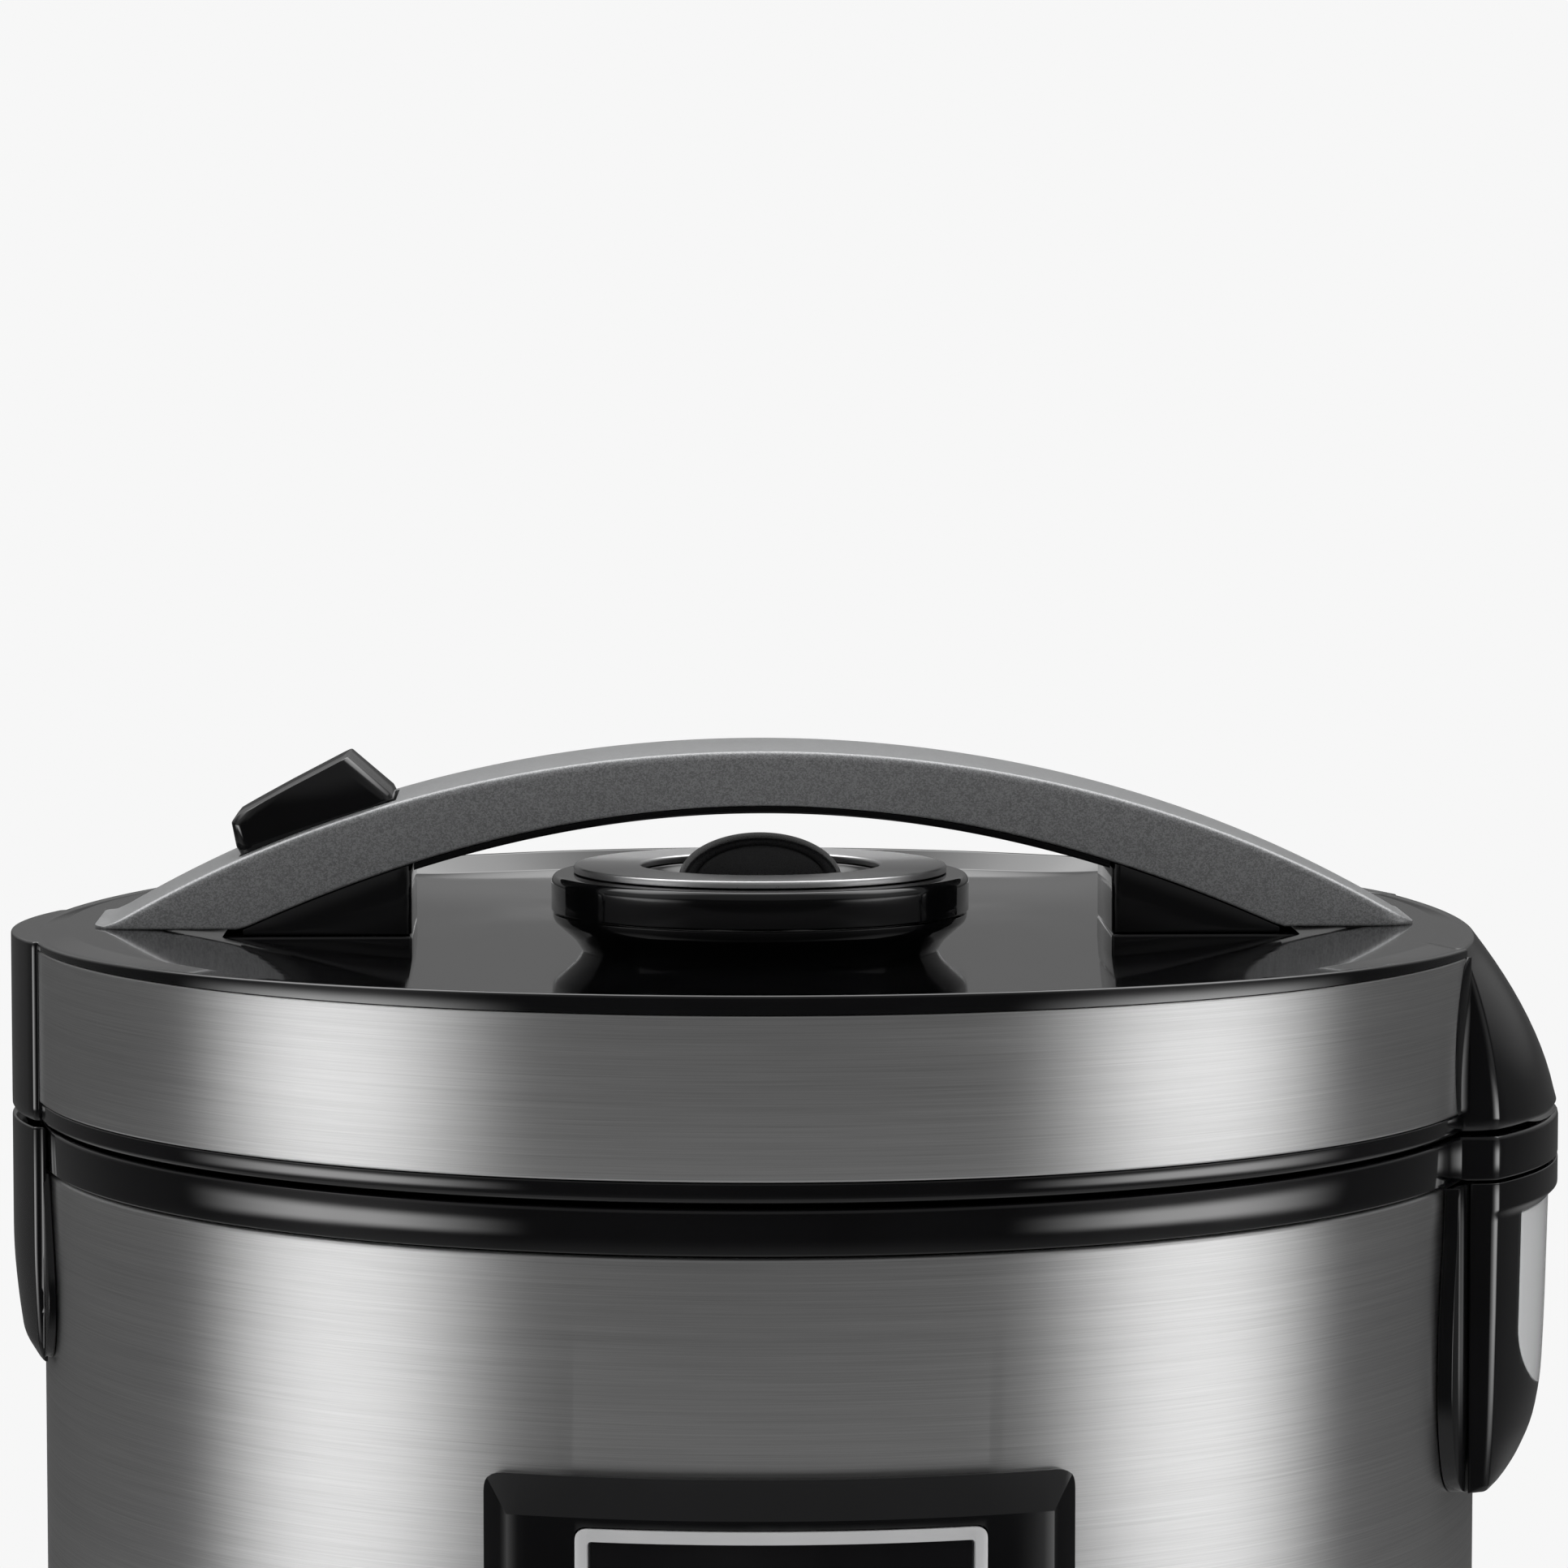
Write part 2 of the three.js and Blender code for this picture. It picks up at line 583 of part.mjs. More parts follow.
// ---------------------------------------------------------------- lid
function topCover() {
  const recess = BAND_R - 1.3;
  const deckStops = [0, 45, 70, 90, 104, 116, 126];
  const shell = sweep(ringAngles([...AT_LATCH_SIDES, ...AT_HINGE_SIDES]), (angle) => {
    const nearLatch = inTab(fromLatch(angle), TAB_LATCH, RIM_R);
    const nearHinge = inTab(angle, TAB_HINGE, RIM_R);
    const thick = nearHinge ? 1.5 : WALL;
    const inHinge = (z) => tabReach(angle, hingeCoverAt(z));
    const latchReach = Math.max(RIM_R, tabReach(fromLatch(angle), TAB_LATCH));
    const rim = nearHinge ? inHinge(RIM_TOP - 2) : (nearLatch ? latchReach : RIM_R);
    const ledge = Math.min(rim, RIM_R) - 2;
    const rimTop = rimHeight(ledge * Math.cos(angle));
    const deckAt = (r) => Math.min(deckHeight(r * Math.cos(angle)), rimTop + 0.2 * (RIM_R - r));
    const outerAt = (z) => {
      if (nearHinge) return inHinge(z);
      return nearLatch ? latchReach : recess;
    };
    const low = nearLatch || nearHinge ? LID_LOW : BAND_LOW + FIT;
    const wall = [BAND_TOP, 222, 211, low];
    const top = deckStops.map((r) => [r, deckAt(r)]);
    const deck = (z) => z - WALL;
    return [
      ...top, [ledge - 1.6, Math.min(deckAt(ledge) + 0.4, rimTop)], [ledge, rimTop],
      [rim - 0.7, rimTop], [rim, rimTop - 0.7],
      [nearLatch || nearHinge ? Math.max(rim, outerAt(BAND_TOP)) : rim, BAND_TOP],
      ...wall.map((z) => [outerAt(z), z]),
      ...wall.toReversed().slice(0, 3).map((z) => [outerAt(z) - thick, z]),
      [126, deck(deckHeight(126 * Math.cos(angle)))],
      [84, deck(deckHeight(84 * Math.cos(angle)))],
      [0, DECK_Z - WALL],
    ];
  }, true);
  const pedestal = (side) => {
    const outline = [
      [SUPPORT_IN, 222], [SUPPORT_OUT, 228], [SUPPORT_OUT, SUPPORT_SEAM_Z], [SUPPORT_IN, SUPPORT_SEAM_Z],
    ];
    return prismY(side > 0 ? outline : mirrorX(outline), -SUPPORT_HALF, SUPPORT_HALF);
  };
  const endPocket = (side) => {
    const [a, b] = [side * (SUPPORT_OUT - 2), side * (handleEnd(side) + 0.5)];
    const across = HANDLE_HALF + 0.4;
    return box(Math.min(a, b), Math.max(a, b), -across, across, HANDLE_SEAT_Z - FIT, 240);
  };
  const hingeLug = [
    [133, 227], [139.2, HINGE.z], [140, HINGE.z - 2], [142, HINGE.z - 2.8], [144, HINGE.z - 2],
    [144.8, HINGE.z], [144, 211], [136, 227],
  ];
  const latchLug = [[-128, 232], [-128, 215.5], [-120, 215.5], [-120, 232]];
  const lugs = [-1, 1].flatMap((side) => {
    const hinge = [side * 6.6, side * 12.2].sort((a, b) => a - b);
    const latch = [side * 7.5, side * 11].sort((a, b) => a - b);
    return [prismY(hingeLug, ...hinge), prismY(latchLug, ...latch)];
  });
  return without(
    union(shell, pedestal(1), pedestal(-1), ...lugs),
    endPocket(1), endPocket(-1),
    postZ(13.2, 0, 0, 200, 240, 36),
    box(-92.5, -75.5, -3.9, 3.9, 200, 240),
    barY(PIN_HOLE_R, HINGE.x, HINGE.z, -20, 20),
    barY(PIN_HOLE_R, LATCH.x, LATCH.z, -12, 12),
  );
}

function lidBand(front180) {
  const latch = Math.asin((TAB_LATCH.half + FIT) / BAND_R);
  const hinge = Math.asin((TAB_HINGE.half + 0.6) / BAND_R);
  const angles = range(hinge, Math.PI - latch, 30).map((a) => (front180 ? -a : a));
  const [low, top] = [BAND_LOW + FIT, BAND_TOP - FIT];
  return sweep(angles, () => [
    [BAND_R - 1, low], [BAND_R, low + 0.4], [BAND_R, top - 0.4], [BAND_R - 1, top],
  ]);
}

function lidLowerRing() {
  const ring = turn([
    [118, LID_LOW], [135.3, LID_LOW], [135.7, LID_LOW + 0.5], [135.7, BAND_LOW], [131.8, BAND_LOW],
    [131.8, 206], [129.8, 206], [129.8, 201.6], [118, 201.6],
  ]);
  const clearOf = (tab, side) => {
    const edge = tab.half + FIT;
    const [near, far] = [side * 112, side * 160].sort((a, b) => a - b);
    return without(box(near, far, -edge, edge, 190, 210), postZ(side < 0 ? 127 : 129, 0, 0, 190, 210, 72));
  };
  return without(ring, clearOf(TAB_LATCH, -1), clearOf(TAB_HINGE, 1), box(-135, -126.6, -7, 7, 190, 210));
}

const innerLiner = () => turn([
  [14, 203.4], [110, 203.4], [112, 199.6], [117.6, 199.6], [117.6, 201.4], [113.2, 201.4],
  [111.2, 205.2], [14, 205.2],
], ROUND_INSIDE);

const innerLidPlate = () => turn([
  [9, 198.8], [60, 198], [104.6, 197.2], [104.6, 198.4], [60, 199.2], [9, 200],
], ROUND_INSIDE);

const lidGasket = () => turn([
  [105, 196.5], [108, 197.2], [111.4, 196.4], [111.4, 199.2], [105, 199.2],
], ROUND_INSIDE);

const innerLidGrommet = () => turn([
  [4, 197], [8.6, 197], [8.6, 202.6], [7.4, 203.6], [4, 203.6],
], 24);

function archSection(x, half, low, top, edge) {
  return {
    points: [
      [-half, low], [-half, top - edge], [-half + edge, top], [half - edge, top], [half, top - edge],
      [half, low],
    ],
    place: (y, z) => new THREE.Vector3(x, y, z),
  };
}

function handleShell() {
  const corner = 6;
  const stations = range(-HANDLE_END.left, HANDLE_END.right, 26);
  const width = (x) => {
    const past = Math.max(0, Math.abs(x) - (handleEnd(x) - corner)) / corner;
    return HANDLE_HALF - corner * (1 - Math.sqrt(Math.max(0, 1 - past * past))) * 0.9;
  };
  const ends = [-1, 1].flatMap((side) => [0.9, 2.6].map((d) => side * (handleEnd(side) - d)));
  const all = [...stations, ...ends].sort((a, b) => a - b);
  const outer = loft(all.map((x) => {
    const top = Math.max(archTop(x), HANDLE_SEAT_Z + 1.2);
    return archSection(x, width(x), archLow(x), top, Math.min(1.3, top - archLow(x) - 0.2));
  }));
  const hollow = loft(range(-112, 112, 20).map((x) => {
    const low = archLow(x) - 1;
    return archSection(x, HANDLE_HALF - 2, low, Math.max(low + 0.6, archTop(x) - 2.2), 0.3);
  }));
  return without(outer, hollow, buttonSolid(FIT, 30));
}

/** (x, z) of a point so far along the button's top face and so far down into the arch. */
const onButton = (along, down) => [
  BUTTON_PLACE.x + along * Math.cos(BUTTON_TILT) + down * Math.sin(BUTTON_TILT),
  BUTTON_PLACE.z + along * Math.sin(BUTTON_TILT) - down * Math.cos(BUTTON_TILT),
];

/** The release button's body, square to the arch's slope, both ends flaring as they go down. */
function buttonSolid(grow, depth) {
  const outline = [
    onButton(-grow, -grow), onButton(24.6 + grow, -grow), onButton(28.4 + grow, 9.7),
    onButton(28.4 + grow, depth), onButton(-1.6 - grow, depth), onButton(-1.6 - grow, 5.2),
  ];
  return prismY(outline, -BUTTON_HALF - grow, BUTTON_HALF + grow);
}

function releaseButton() {
  const leg = prismY([onButton(0.5, 8), onButton(6.5, 8), onButton(6.5, 33.5), onButton(0.5, 31.5)], -3, 3);
  return union(buttonSolid(0, 11), leg);
}

function handleLiner() {
  const stations = range(-SUPPORT_IN + 0.4, SUPPORT_IN - 0.4, 16);
  const strip = (half, down, up) => loft(stations.map((x) => ({
    points: [
      [-half, archLow(x) - down], [half, archLow(x) - down],
      [half, archLow(x) + up], [-half, archLow(x) + up],
    ],
    place: (y, z) => new THREE.Vector3(x, y, z),
  })));
  return union(strip(SUPPORT_HALF, 1.4, -FIT), strip(HANDLE_HALF - 2.5, 0.8, 1.2));
}

function handleSupport(side) {
  const under = range(SUPPORT_IN, SUPPORT_OUT - 2.5, 8).map((x) => [x, archLow(x) - FIT]);
  const outline = [
    [SUPPORT_IN, SUPPORT_SEAM_Z + FIT], [SUPPORT_OUT - 2.5, SUPPORT_SEAM_Z + FIT], ...under.toReversed(),
  ];
  const wedge = prismY(side > 0 ? outline : mirrorX(outline), -SUPPORT_HALF, SUPPORT_HALF);
  return side > 0 ? wedge : without(wedge, box(-94, -77.5, -3.9, 3.9, 220, 250));
}

const ventBase = () => turn([
  [10, 200.5], [12.8, 200.5], [12.8, 227.7], [33.2, 227.7], [35.4, 230], [38.8, 233.6], [39, 234.6],
  [36.6, 234.6], [36.4, 233.4], [32, 229.8], [10, 229.8],
], ROUND_INSIDE);

function ventCap() {
  const cap = lathe([
    [0, 235], [34.6, 235], [35, 234.9], [38.8, 234.9], [39.2, 235.3], [39.2, 240.8], [38.6, 241.8],
    [36.4, 242.2], [35.4, 242], [22, 242], [21.7, 240.6], [18.5, 238], [11, 236.9], [0, 237.6],
  ], ROUND_INSIDE);
  const arch = range(0, Math.PI, 14).map((a) => [15.5 * Math.cos(a), 241 + 8.5 * Math.sin(a)]);
  const bar = prismY([[15.5, 236.6], ...arch, [-15.5, 236.6]], -7.5, 7.5);
  return union(cap, bar);
}

const ventTrimRing = () => turn([
  [22.4, 242.3], [35, 242.3], [35, 243], [34.4, 243.7], [23, 243.7], [22.4, 243.2],
], ROUND_INSIDE);

function latchHook() {
  const outline = [
    [-127.6, 219.5], [-126, 222], [-123.4, 222.6], [-84.5, 222.6], [-83, 221.6], [-83, 220.2],
    [-119.8, 219.2], [-120.6, 216.6], [-123, 215.2], [-125.8, 214], [-128.2, 203], [-128.4, 194.6],
    [-127.9, 193.6], [-127.9, 191.4], [-131, 190.8], [-131, 204], [-128.8, 215],
  ];
  return without(prismY(outline, -6, 6), barY(PIN_HOLE_R, LATCH.x, LATCH.z, -8, 8));
}

// ---------------------------------------------------------------- assembly
inBase('steel_body', steelBody(), MATERIAL.brushed);
inBase('body_upper_ring', upperRing(), MATERIAL.gloss);
inBase('latch_housing', latchHousing(), MATERIAL.gloss);
inBase('latch_keeper', box(-127.2, -118, -9.5, 9.5, 194, 195.5), MATERIAL.steel);
inBase('hinge_flange', hingeFlange(), MATERIAL.gloss);
inBase('hinge_housing', hingeHousing(), MATERIAL.gloss);
inBase('drain_spout', drainSpout(), MATERIAL.matte);
inBase('condensate_cup', condensateCup(), MATERIAL.clear);
inBase('hinge_pin', barY(PIN_R, HINGE.x, HINGE.z, -18.6, 18.6), MATERIAL.steel);
inBase('hinge_spring', coil({
  radius: 2.6, wire: 0.5, turns: 5, height: 11.4,
  place: (g) => g.rotateX(-Math.PI / 2).translate(HINGE.x, -5.7, HINGE.z),
}), MATERIAL.steel);
inBase('inner_can', innerCan(), MATERIAL.aluminium);
inBase('inner_pot', innerPot(), MATERIAL.coated);
inBase('heating_plate', heatingPlate(), MATERIAL.aluminium);
inBase('sensor_bracket', sensorBracket(), MATERIAL.steel);
inBase('sensor_cup', sensorCup(), MATERIAL.aluminium);
inBase('sensor_spring', coil({
  radius: 8, wire: 0.6, turns: 4, height: 16,
  place: (g) => g.translate(0, 0, 38.7),
}), MATERIAL.steel);
inBase('main_pcb', mainBoard(), MATERIAL.board);
inBase('display_pcb', displayBoard(), MATERIAL.board);
inBase('base_plate', basePlate(), MATERIAL.matte);
inBase('base_ring', baseRing(), MATERIAL.gloss);
for (let i = 0; i < 4; i += 1) {
  const a = THREE.MathUtils.degToRad(45 + 90 * i);
  const foot = lathe([[0, 0], [FOOT.r - 1, 0], [FOOT.r, 1], [FOOT.r, FOOT.high], [0, FOOT.high]], 24)
    .translate([FOOT.at * Math.cos(a), FOOT.at * Math.sin(a), 0]);
  inBase(`foot_${i + 1}`, foot, MATERIAL.rubber);
}
screwPlaces().forEach(([x, y], i) => {
  const screw = union(postZ(3.4, x, y, 6.2, 7.9, 12), postZ(1.7, x, y, 7.5, 16, 12));
  inBase(`base_screw_${i + 1}`, screw, MATERIAL.steel);
});
inBase('power_inlet', powerInlet(), MATERIAL.matte);
inletPins().forEach(({ y, z }, i) => {
  inBase(`inlet_pin_${i + 1}`, box(115, 131, y - 1, y + 1, z - 2, z + 2), MATERIAL.brass);
});
inBase('panel_bezel', panelBezel(), MATERIAL.gloss);
inBase('panel_frame', panelFrame(), MATERIAL.trim);
inBase('panel_glass', panelGlass(), MATERIAL.glass);
for (const key of KEYS) {
  inBase(key.name, keyBlock(key, 0, KEY_BACK, KEY_FACE), MATERIAL.matte);
}

inLid('lid_top_cover', topCover(), MATERIAL.gloss);
inLid('lid_band_front', lidBand(true), MATERIAL.brushed);
inLid('lid_band_rear', lidBand(false), MATERIAL.brushed);
inLid('lid_lower_ring', lidLowerRing(), MATERIAL.gloss);
inLid('lid_inner_liner', innerLiner(), MATERIAL.matte);
inLid('inner_lid_plate', innerLidPlate(), MATERIAL.aluminium);
inLid('inner_lid_grommet', innerLidGrommet(), MATERIAL.silicone);
inLid('lid_gasket', lidGasket(), MATERIAL.silicone);
inLid('handle_shell', handleShell(), MATERIAL.silver);
inLid('handle_liner', handleLiner(), MATERIAL.gloss);
inLid('handle_support_left', handleSupport(-1), MATERIAL.gloss);
inLid('handle_support_right', handleSupport(1), MATERIAL.gloss);
inLid('vent_base', ventBase(), MATERIAL.gloss);
inLid('vent_cap', ventCap(), MATERIAL.gloss);
inLid('vent_trim_ring', ventTrimRing(), MATERIAL.trim);
inLid('release_button', releaseButton(), MATERIAL.gloss);
inLid('latch_hook', latchHook(), MATERIAL.matte);
inLid('latch_pin', barY(PIN_R, LATCH.x, LATCH.z, -11, 11), MATERIAL.steel);
inLid('latch_spring', coil({
  radius: 3.4, wire: 0.5, turns: 5, height: 13.2,
  place: (g) => g.translate(-100, 0, 205.5),
}), MATERIAL.steel);

const bounds = new THREE.Box3().setFromObject(cooker);
const middle = bounds.getCenter(new THREE.Vector3());
cooker.position.set(-middle.x, -middle.y, -bounds.min.z);

export default cooker;
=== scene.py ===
"""The looks of a drum rice cooker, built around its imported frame.

Lengths are in millimetres about the drum's axis, with the front (control panel) facing -Y and the
hinge at +X. to_row() turns them into metres in the row frame.
"""

from contextlib import contextmanager
import json
import math

import bmesh
import bpy
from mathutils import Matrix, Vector


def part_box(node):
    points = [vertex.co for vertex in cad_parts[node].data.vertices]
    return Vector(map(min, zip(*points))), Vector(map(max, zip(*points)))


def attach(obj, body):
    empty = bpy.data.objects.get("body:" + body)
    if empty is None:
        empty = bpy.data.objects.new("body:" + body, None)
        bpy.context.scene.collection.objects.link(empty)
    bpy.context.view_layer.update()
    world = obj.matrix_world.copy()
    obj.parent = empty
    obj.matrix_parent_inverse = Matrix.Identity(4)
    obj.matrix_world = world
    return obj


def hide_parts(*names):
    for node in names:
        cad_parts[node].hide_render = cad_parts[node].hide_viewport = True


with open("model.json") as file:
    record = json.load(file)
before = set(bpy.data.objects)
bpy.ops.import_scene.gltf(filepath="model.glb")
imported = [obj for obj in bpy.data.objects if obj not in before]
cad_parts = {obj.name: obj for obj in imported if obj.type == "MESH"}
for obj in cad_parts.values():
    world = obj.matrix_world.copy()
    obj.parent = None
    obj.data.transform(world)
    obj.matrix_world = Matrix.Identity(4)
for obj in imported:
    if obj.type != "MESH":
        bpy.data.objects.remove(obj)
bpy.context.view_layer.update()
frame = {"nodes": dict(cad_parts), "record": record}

MM = 0.001
DRUM_LOW_CORNER, DRUM_HIGH_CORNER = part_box("steel_body")
AXIS_X = (DRUM_LOW_CORNER.x + DRUM_HIGH_CORNER.x) / 2
AXIS_Y = (DRUM_LOW_CORNER.y + DRUM_HIGH_CORNER.y) / 2

# ------------------------------------------------------------------ driving dimensions, in mm
DRUM_R = 134.0
STEEL = 0.8
ROLL = 1.0                                   # radius that the drum's top edge is rolled in by
DRUM_LOW, DRUM_TOP = 20.0, 190.0
RING_LOW, RING_TOP = 190.3, 198.3
LID_LOW = 199.3
BAND_LOW, BAND_TOP = 202.8, 231.1
RIM_TOP = 234.3                              # top of the lid's rim at the front and back
RIM_FALL = 2.0                               # how far it has dropped at the sides
RIM_R = 136.0
BAND_R = 135.9
WALL = 2.4
GAP = 0.3
CORNER_BLEND = 3.2                           # how gently the tabs' upright corners are rounded

LATCH_TAB = {"half": 29.5, "corner": 133.6, "middle": 140.0}
HINGE_TAB = {"half": 50.0, "corner": 132.0, "middle": 150.0}

DECK_Z = 227.4
DECK_EDGE_Z = 233.4
DISH_EDGE, DISH_SOFT = 66.0, 8.0             # |x| where the deck starts to climb, and how softly
INNER_CREASE = {"far": 84.0, "more": 36.5, "width": 34.0, "power": 2}
OUTER_CREASE = {"far": 113.0, "more": 7.5, "width": 28.0, "power": 4}
DECK_FIRST_RISE = 0.94                       # part of the rise that is done by the inner crease
BOWL_START, BOWL_END, BOWL_RISE = 66.0, 130.0, 3.4   # radii where the dish curls up to the rim

HINGE_X, HINGE_Z = 141.4, 204.2
LATCH_X, LATCH_Z = -124.0, 219.0
PIN_R = 1.25

HANDLE_HALF = 18.1
HANDLE_END = {-1: 123.6, 1: 121.4}           # |x| of the arch's tips, left and right
HANDLE_SEAT = 233.3
SUPPORT_IN, SUPPORT_OUT = 64.8, 97.0
SUPPORT_SEAM = 232.0
SUPPORT_HALF = 17.4

BUTTON_TILT = math.radians(27.7)
BUTTON_CORNER = (-98.5, 253.4)
BUTTON_HALF = 12.0

PANEL = {"half": 51.2, "low": 43.0, "top": 152.8, "base": 135.8, "face": 139.3,
         "bevel": 5.4, "rise": 6.3}
WINDOW = {"half": 34.0, "low": 96.0, "top": 144.7, "bar": 2.1}
KEYS = [
    ("key_upper_left", -16, 83, 13, 5.5),
    ("key_upper_right", 16, 83, 13, 5.5),
    ("key_lower_left", -16, 69, 13, 5.5),
    ("key_lower_right", 16, 69, 13, 5.5),
    ("key_start", 0, 54, 29, 6),
]
KEY_BACK, KEY_FACE = 133.5, 140.0

FLANGE_TOP = 189.7                           # top of what hangs on the drum, under its upper ring
CUP = {"half": 39.7, "low": 147.6, "top": 183.0, "shoulder": 162.0, "inner": 137.2, "wall": 1.4}
INLET = {"half": 13.5, "low": 32.0, "top": 52.0, "face": 136.4, "back": 119.0}
HINGE_SIDE = (100, 160)                      # x from inside the drum to outside everything
HOUSING_INNER, HOUSING_LOW = DRUM_R + 2.8, 133.0
HOUSING_LEVELS = [                           # (height, reach in the middle, at the corners, softness)
    (FLANGE_TOP, 150.0, 132.0, 0.3), (184.6, 150.0, 132.0, 0.4), (183.2, 148.2, 131.9, 0.8),
    (160.0, 147.6, 131.6, 8), (148.0, 147.0, 131.4, 5), (140.5, 145.4, 131.2, 4),
    (135.4, 142.4, 131.0, 3), (HOUSING_LOW, 139.6, 130.8, 1.5),
]
FRONT = -math.pi / 2
FULL_TURN = 2 * math.pi
SIDES = ((-1, "left"), (1, "right"))

# ------------------------------------------------------------------ stage
CAMERA_PLACE, CAMERA_AIM = (-30.56, -1167.08, 353.6), (4.5, 0, 258.6)
LENS, SENSOR = 143.4, 36
FLOOR_SOLID, FLOOR_GONE = 300.0, 520.0       # the floor is whole out to one radius and gone at the other
# What a reflection sees: (angle from the front as a part of half a turn, level), and
# (height as the sine of the elevation, level).
SIDE_LIGHTS = [(0.0, 0.0), (0.2, 0.0), (0.36, 1.0), (0.4, 1.0), (0.575, 0.0), (1.0, 0.0)]
SIDE_HEIGHTS = [(-1.0, 0.02), (-0.23, 0.03), (-0.16, 1.0), (-0.11, 1.0), (-0.03, 0.06), (1.0, 0.02)]
SIDE_LEVEL = 5.0
ALL_ROUND = [(0.0, 0.02), (0.55, 0.03), (0.8, 0.055), (1.0, 0.055)]
SKY = [(-1.0, 0.4), (-0.45, 0.3), (-0.2, 0.02), (0.1, 0.02), (0.3, 0.18), (1.0, 0.2)]
CEILING_HEIGHTS = [(-1.0, 0.0), (0.45, 0.0), (0.78, 1.0), (0.86, 1.0), (0.95, 0.35), (1.0, 0.35)]
CEILING_DEPTHS = [(-1.0, 0.0), (-0.35, 0.0), (0.0, 1.0), (1.0, 1.0)]         # towards the back
CEILING_LEVEL = 3.0
BACK_GLOW = [(0.0, 0.0), (0.55, 0.0), (0.85, 1.0), (1.0, 1.0)]
BACK_GLOW_HEIGHTS = [(-1.0, 0.0), (-0.02, 0.0), (0.05, 0.1), (0.12, 0.12), (0.35, 0.15),
                     (1.0, 0.3)]
# What a dull surface is lit by: (height, level).
SOFT_LIGHT = [(-1.0, 0.4), (0.0, 0.45), (0.5, 1.0), (1.0, 1.5)]


# ------------------------------------------------------------------ geometry helpers
def to_row(point):
    return Vector((AXIS_X + point[0] * MM, AXIS_Y + point[1] * MM, point[2] * MM))


def span(start, stop, count):
    """Evenly spaced values from start to stop, one more than the count of steps."""
    return [start + (stop - start) * i / count for i in range(count + 1)]


def arc(u, v, radius, start, stop, count):
    return [(u + radius * math.cos(a), v + radius * math.sin(a)) for a in span(start, stop, count)]


def circle(u, v, radius, count):
    return arc(u, v, radius, 0, FULL_TURN, count)[:-1]


def clamp(value, low, high):
    return max(low, min(high, value))


def rounded(outline, steps=4):
    """An outline of (u, v, radius) corners with each corner turned into a soft curve."""
    result = []
    for i, (u, v, radius) in enumerate(outline):
        here = Vector((u, v))
        before = Vector(outline[i - 1][:2]) - here
        after = Vector(outline[(i + 1) % len(outline)][:2]) - here
        reach = min(radius, before.length * 0.49, after.length * 0.49)
        start = here + before.normalized() * reach
        stop = here + after.normalized() * reach
        for k in range(steps + 1):
            t = k / steps
            result.append(tuple(start * (1 - t) ** 2 + here * 2 * t * (1 - t) + stop * t ** 2))
    return result


def loft_mesh(rows, closed_rows, cap=True):
    """Quads between matching rows of points; each row is a closed outline."""
    count = len(rows[0])
    points = [point for row in rows for point in row]
    faces = []
    spans = len(rows) if closed_rows else len(rows) - 1
    for j in range(spans):
        here = j * count
        there = ((j + 1) % len(rows)) * count
        for i in range(count):
            k = (i + 1) % count
            faces.append((here + i, here + k, there + k, there + i))
    if cap and not closed_rows:
        last = (len(rows) - 1) * count
        faces.append(tuple(range(count))[::-1])
        faces.append(tuple(range(last, last + count)))
    return points, faces


@contextmanager
def editing(data):
    """A mesh opened for editing, and written back at the end."""
    work = bmesh.new()
    work.from_mesh(data)
    yield work
    work.to_mesh(data)
    work.free()


def raw(name, shape, merge=True):
    """An object made from (points, faces), with nothing done to it yet."""
    points, faces = shape
    data = bpy.data.meshes.new(name)
    data.from_pydata([to_row(p) for p in points], [], faces)
    with editing(data) as work:
        if merge:
            bmesh.ops.remove_doubles(work, verts=work.verts, dist=1e-6)
        bmesh.ops.recalc_face_normals(work, faces=work.faces)
    obj = bpy.data.objects.new(name, data)
    bpy.context.scene.collection.objects.link(obj)
    return obj


def bevel_edges(work, edges, width, segments):
    bmesh.ops.bevel(work, geom=edges, offset=width * MM, offset_type="OFFSET", segments=segments,
                    profile=0.5, affect="EDGES", clamp_overlap=True)


def hard_edges(work, crease):
    return [e for e in work.edges if len(e.link_faces) == 2
            and e.calc_face_angle(0) > math.radians(crease)]


def round_edges(obj, width, crease=38, segments=2):
    """Rounds every edge sharper than the crease angle, after flat neighbours are joined."""
    with editing(obj.data) as work:
        bmesh.ops.dissolve_limit(work, angle_limit=math.radians(0.05), verts=work.verts,
                                 edges=work.edges)
        bevel_edges(work, hard_edges(work, crease), width, segments)


def apply_modifiers(obj):
    graph = bpy.context.evaluated_depsgraph_get()
    result = bpy.data.meshes.new_from_object(obj.evaluated_get(graph))
    obj.modifiers.clear()
    obj.data = result


def cut(obj, shapes, operation="DIFFERENCE"):
    """Cuts shapes out of an object for good, or joins them to it, or keeps what they share."""
    for shape in shapes:
        tool = raw("tool", shape, merge=False)
        modifier = obj.modifiers.new("cut", "BOOLEAN")
        modifier.operation = operation
        modifier.object = tool
        modifier.solver = "EXACT"
        apply_modifiers(obj)
        bpy.data.objects.remove(tool)


def finish(obj, body, slot, replaces=None, paint=None):
    """Paints and shades a piece and rides it on a body.

    It stands for the CAD node that it is named after, unless replaces says otherwise.
    """
    obj.data.materials.clear()
    obj.data.materials.append(PAINT[paint or slot])
    obj.data.shade_smooth()
    obj.data.set_sharp_from_angle(angle=math.radians(38))
    round_uv(obj.data)
    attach(obj, body)
    if replaces is None:
        replaces = (obj.name.removesuffix("_look"),)
    if replaces:
        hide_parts(*replaces)
    return obj


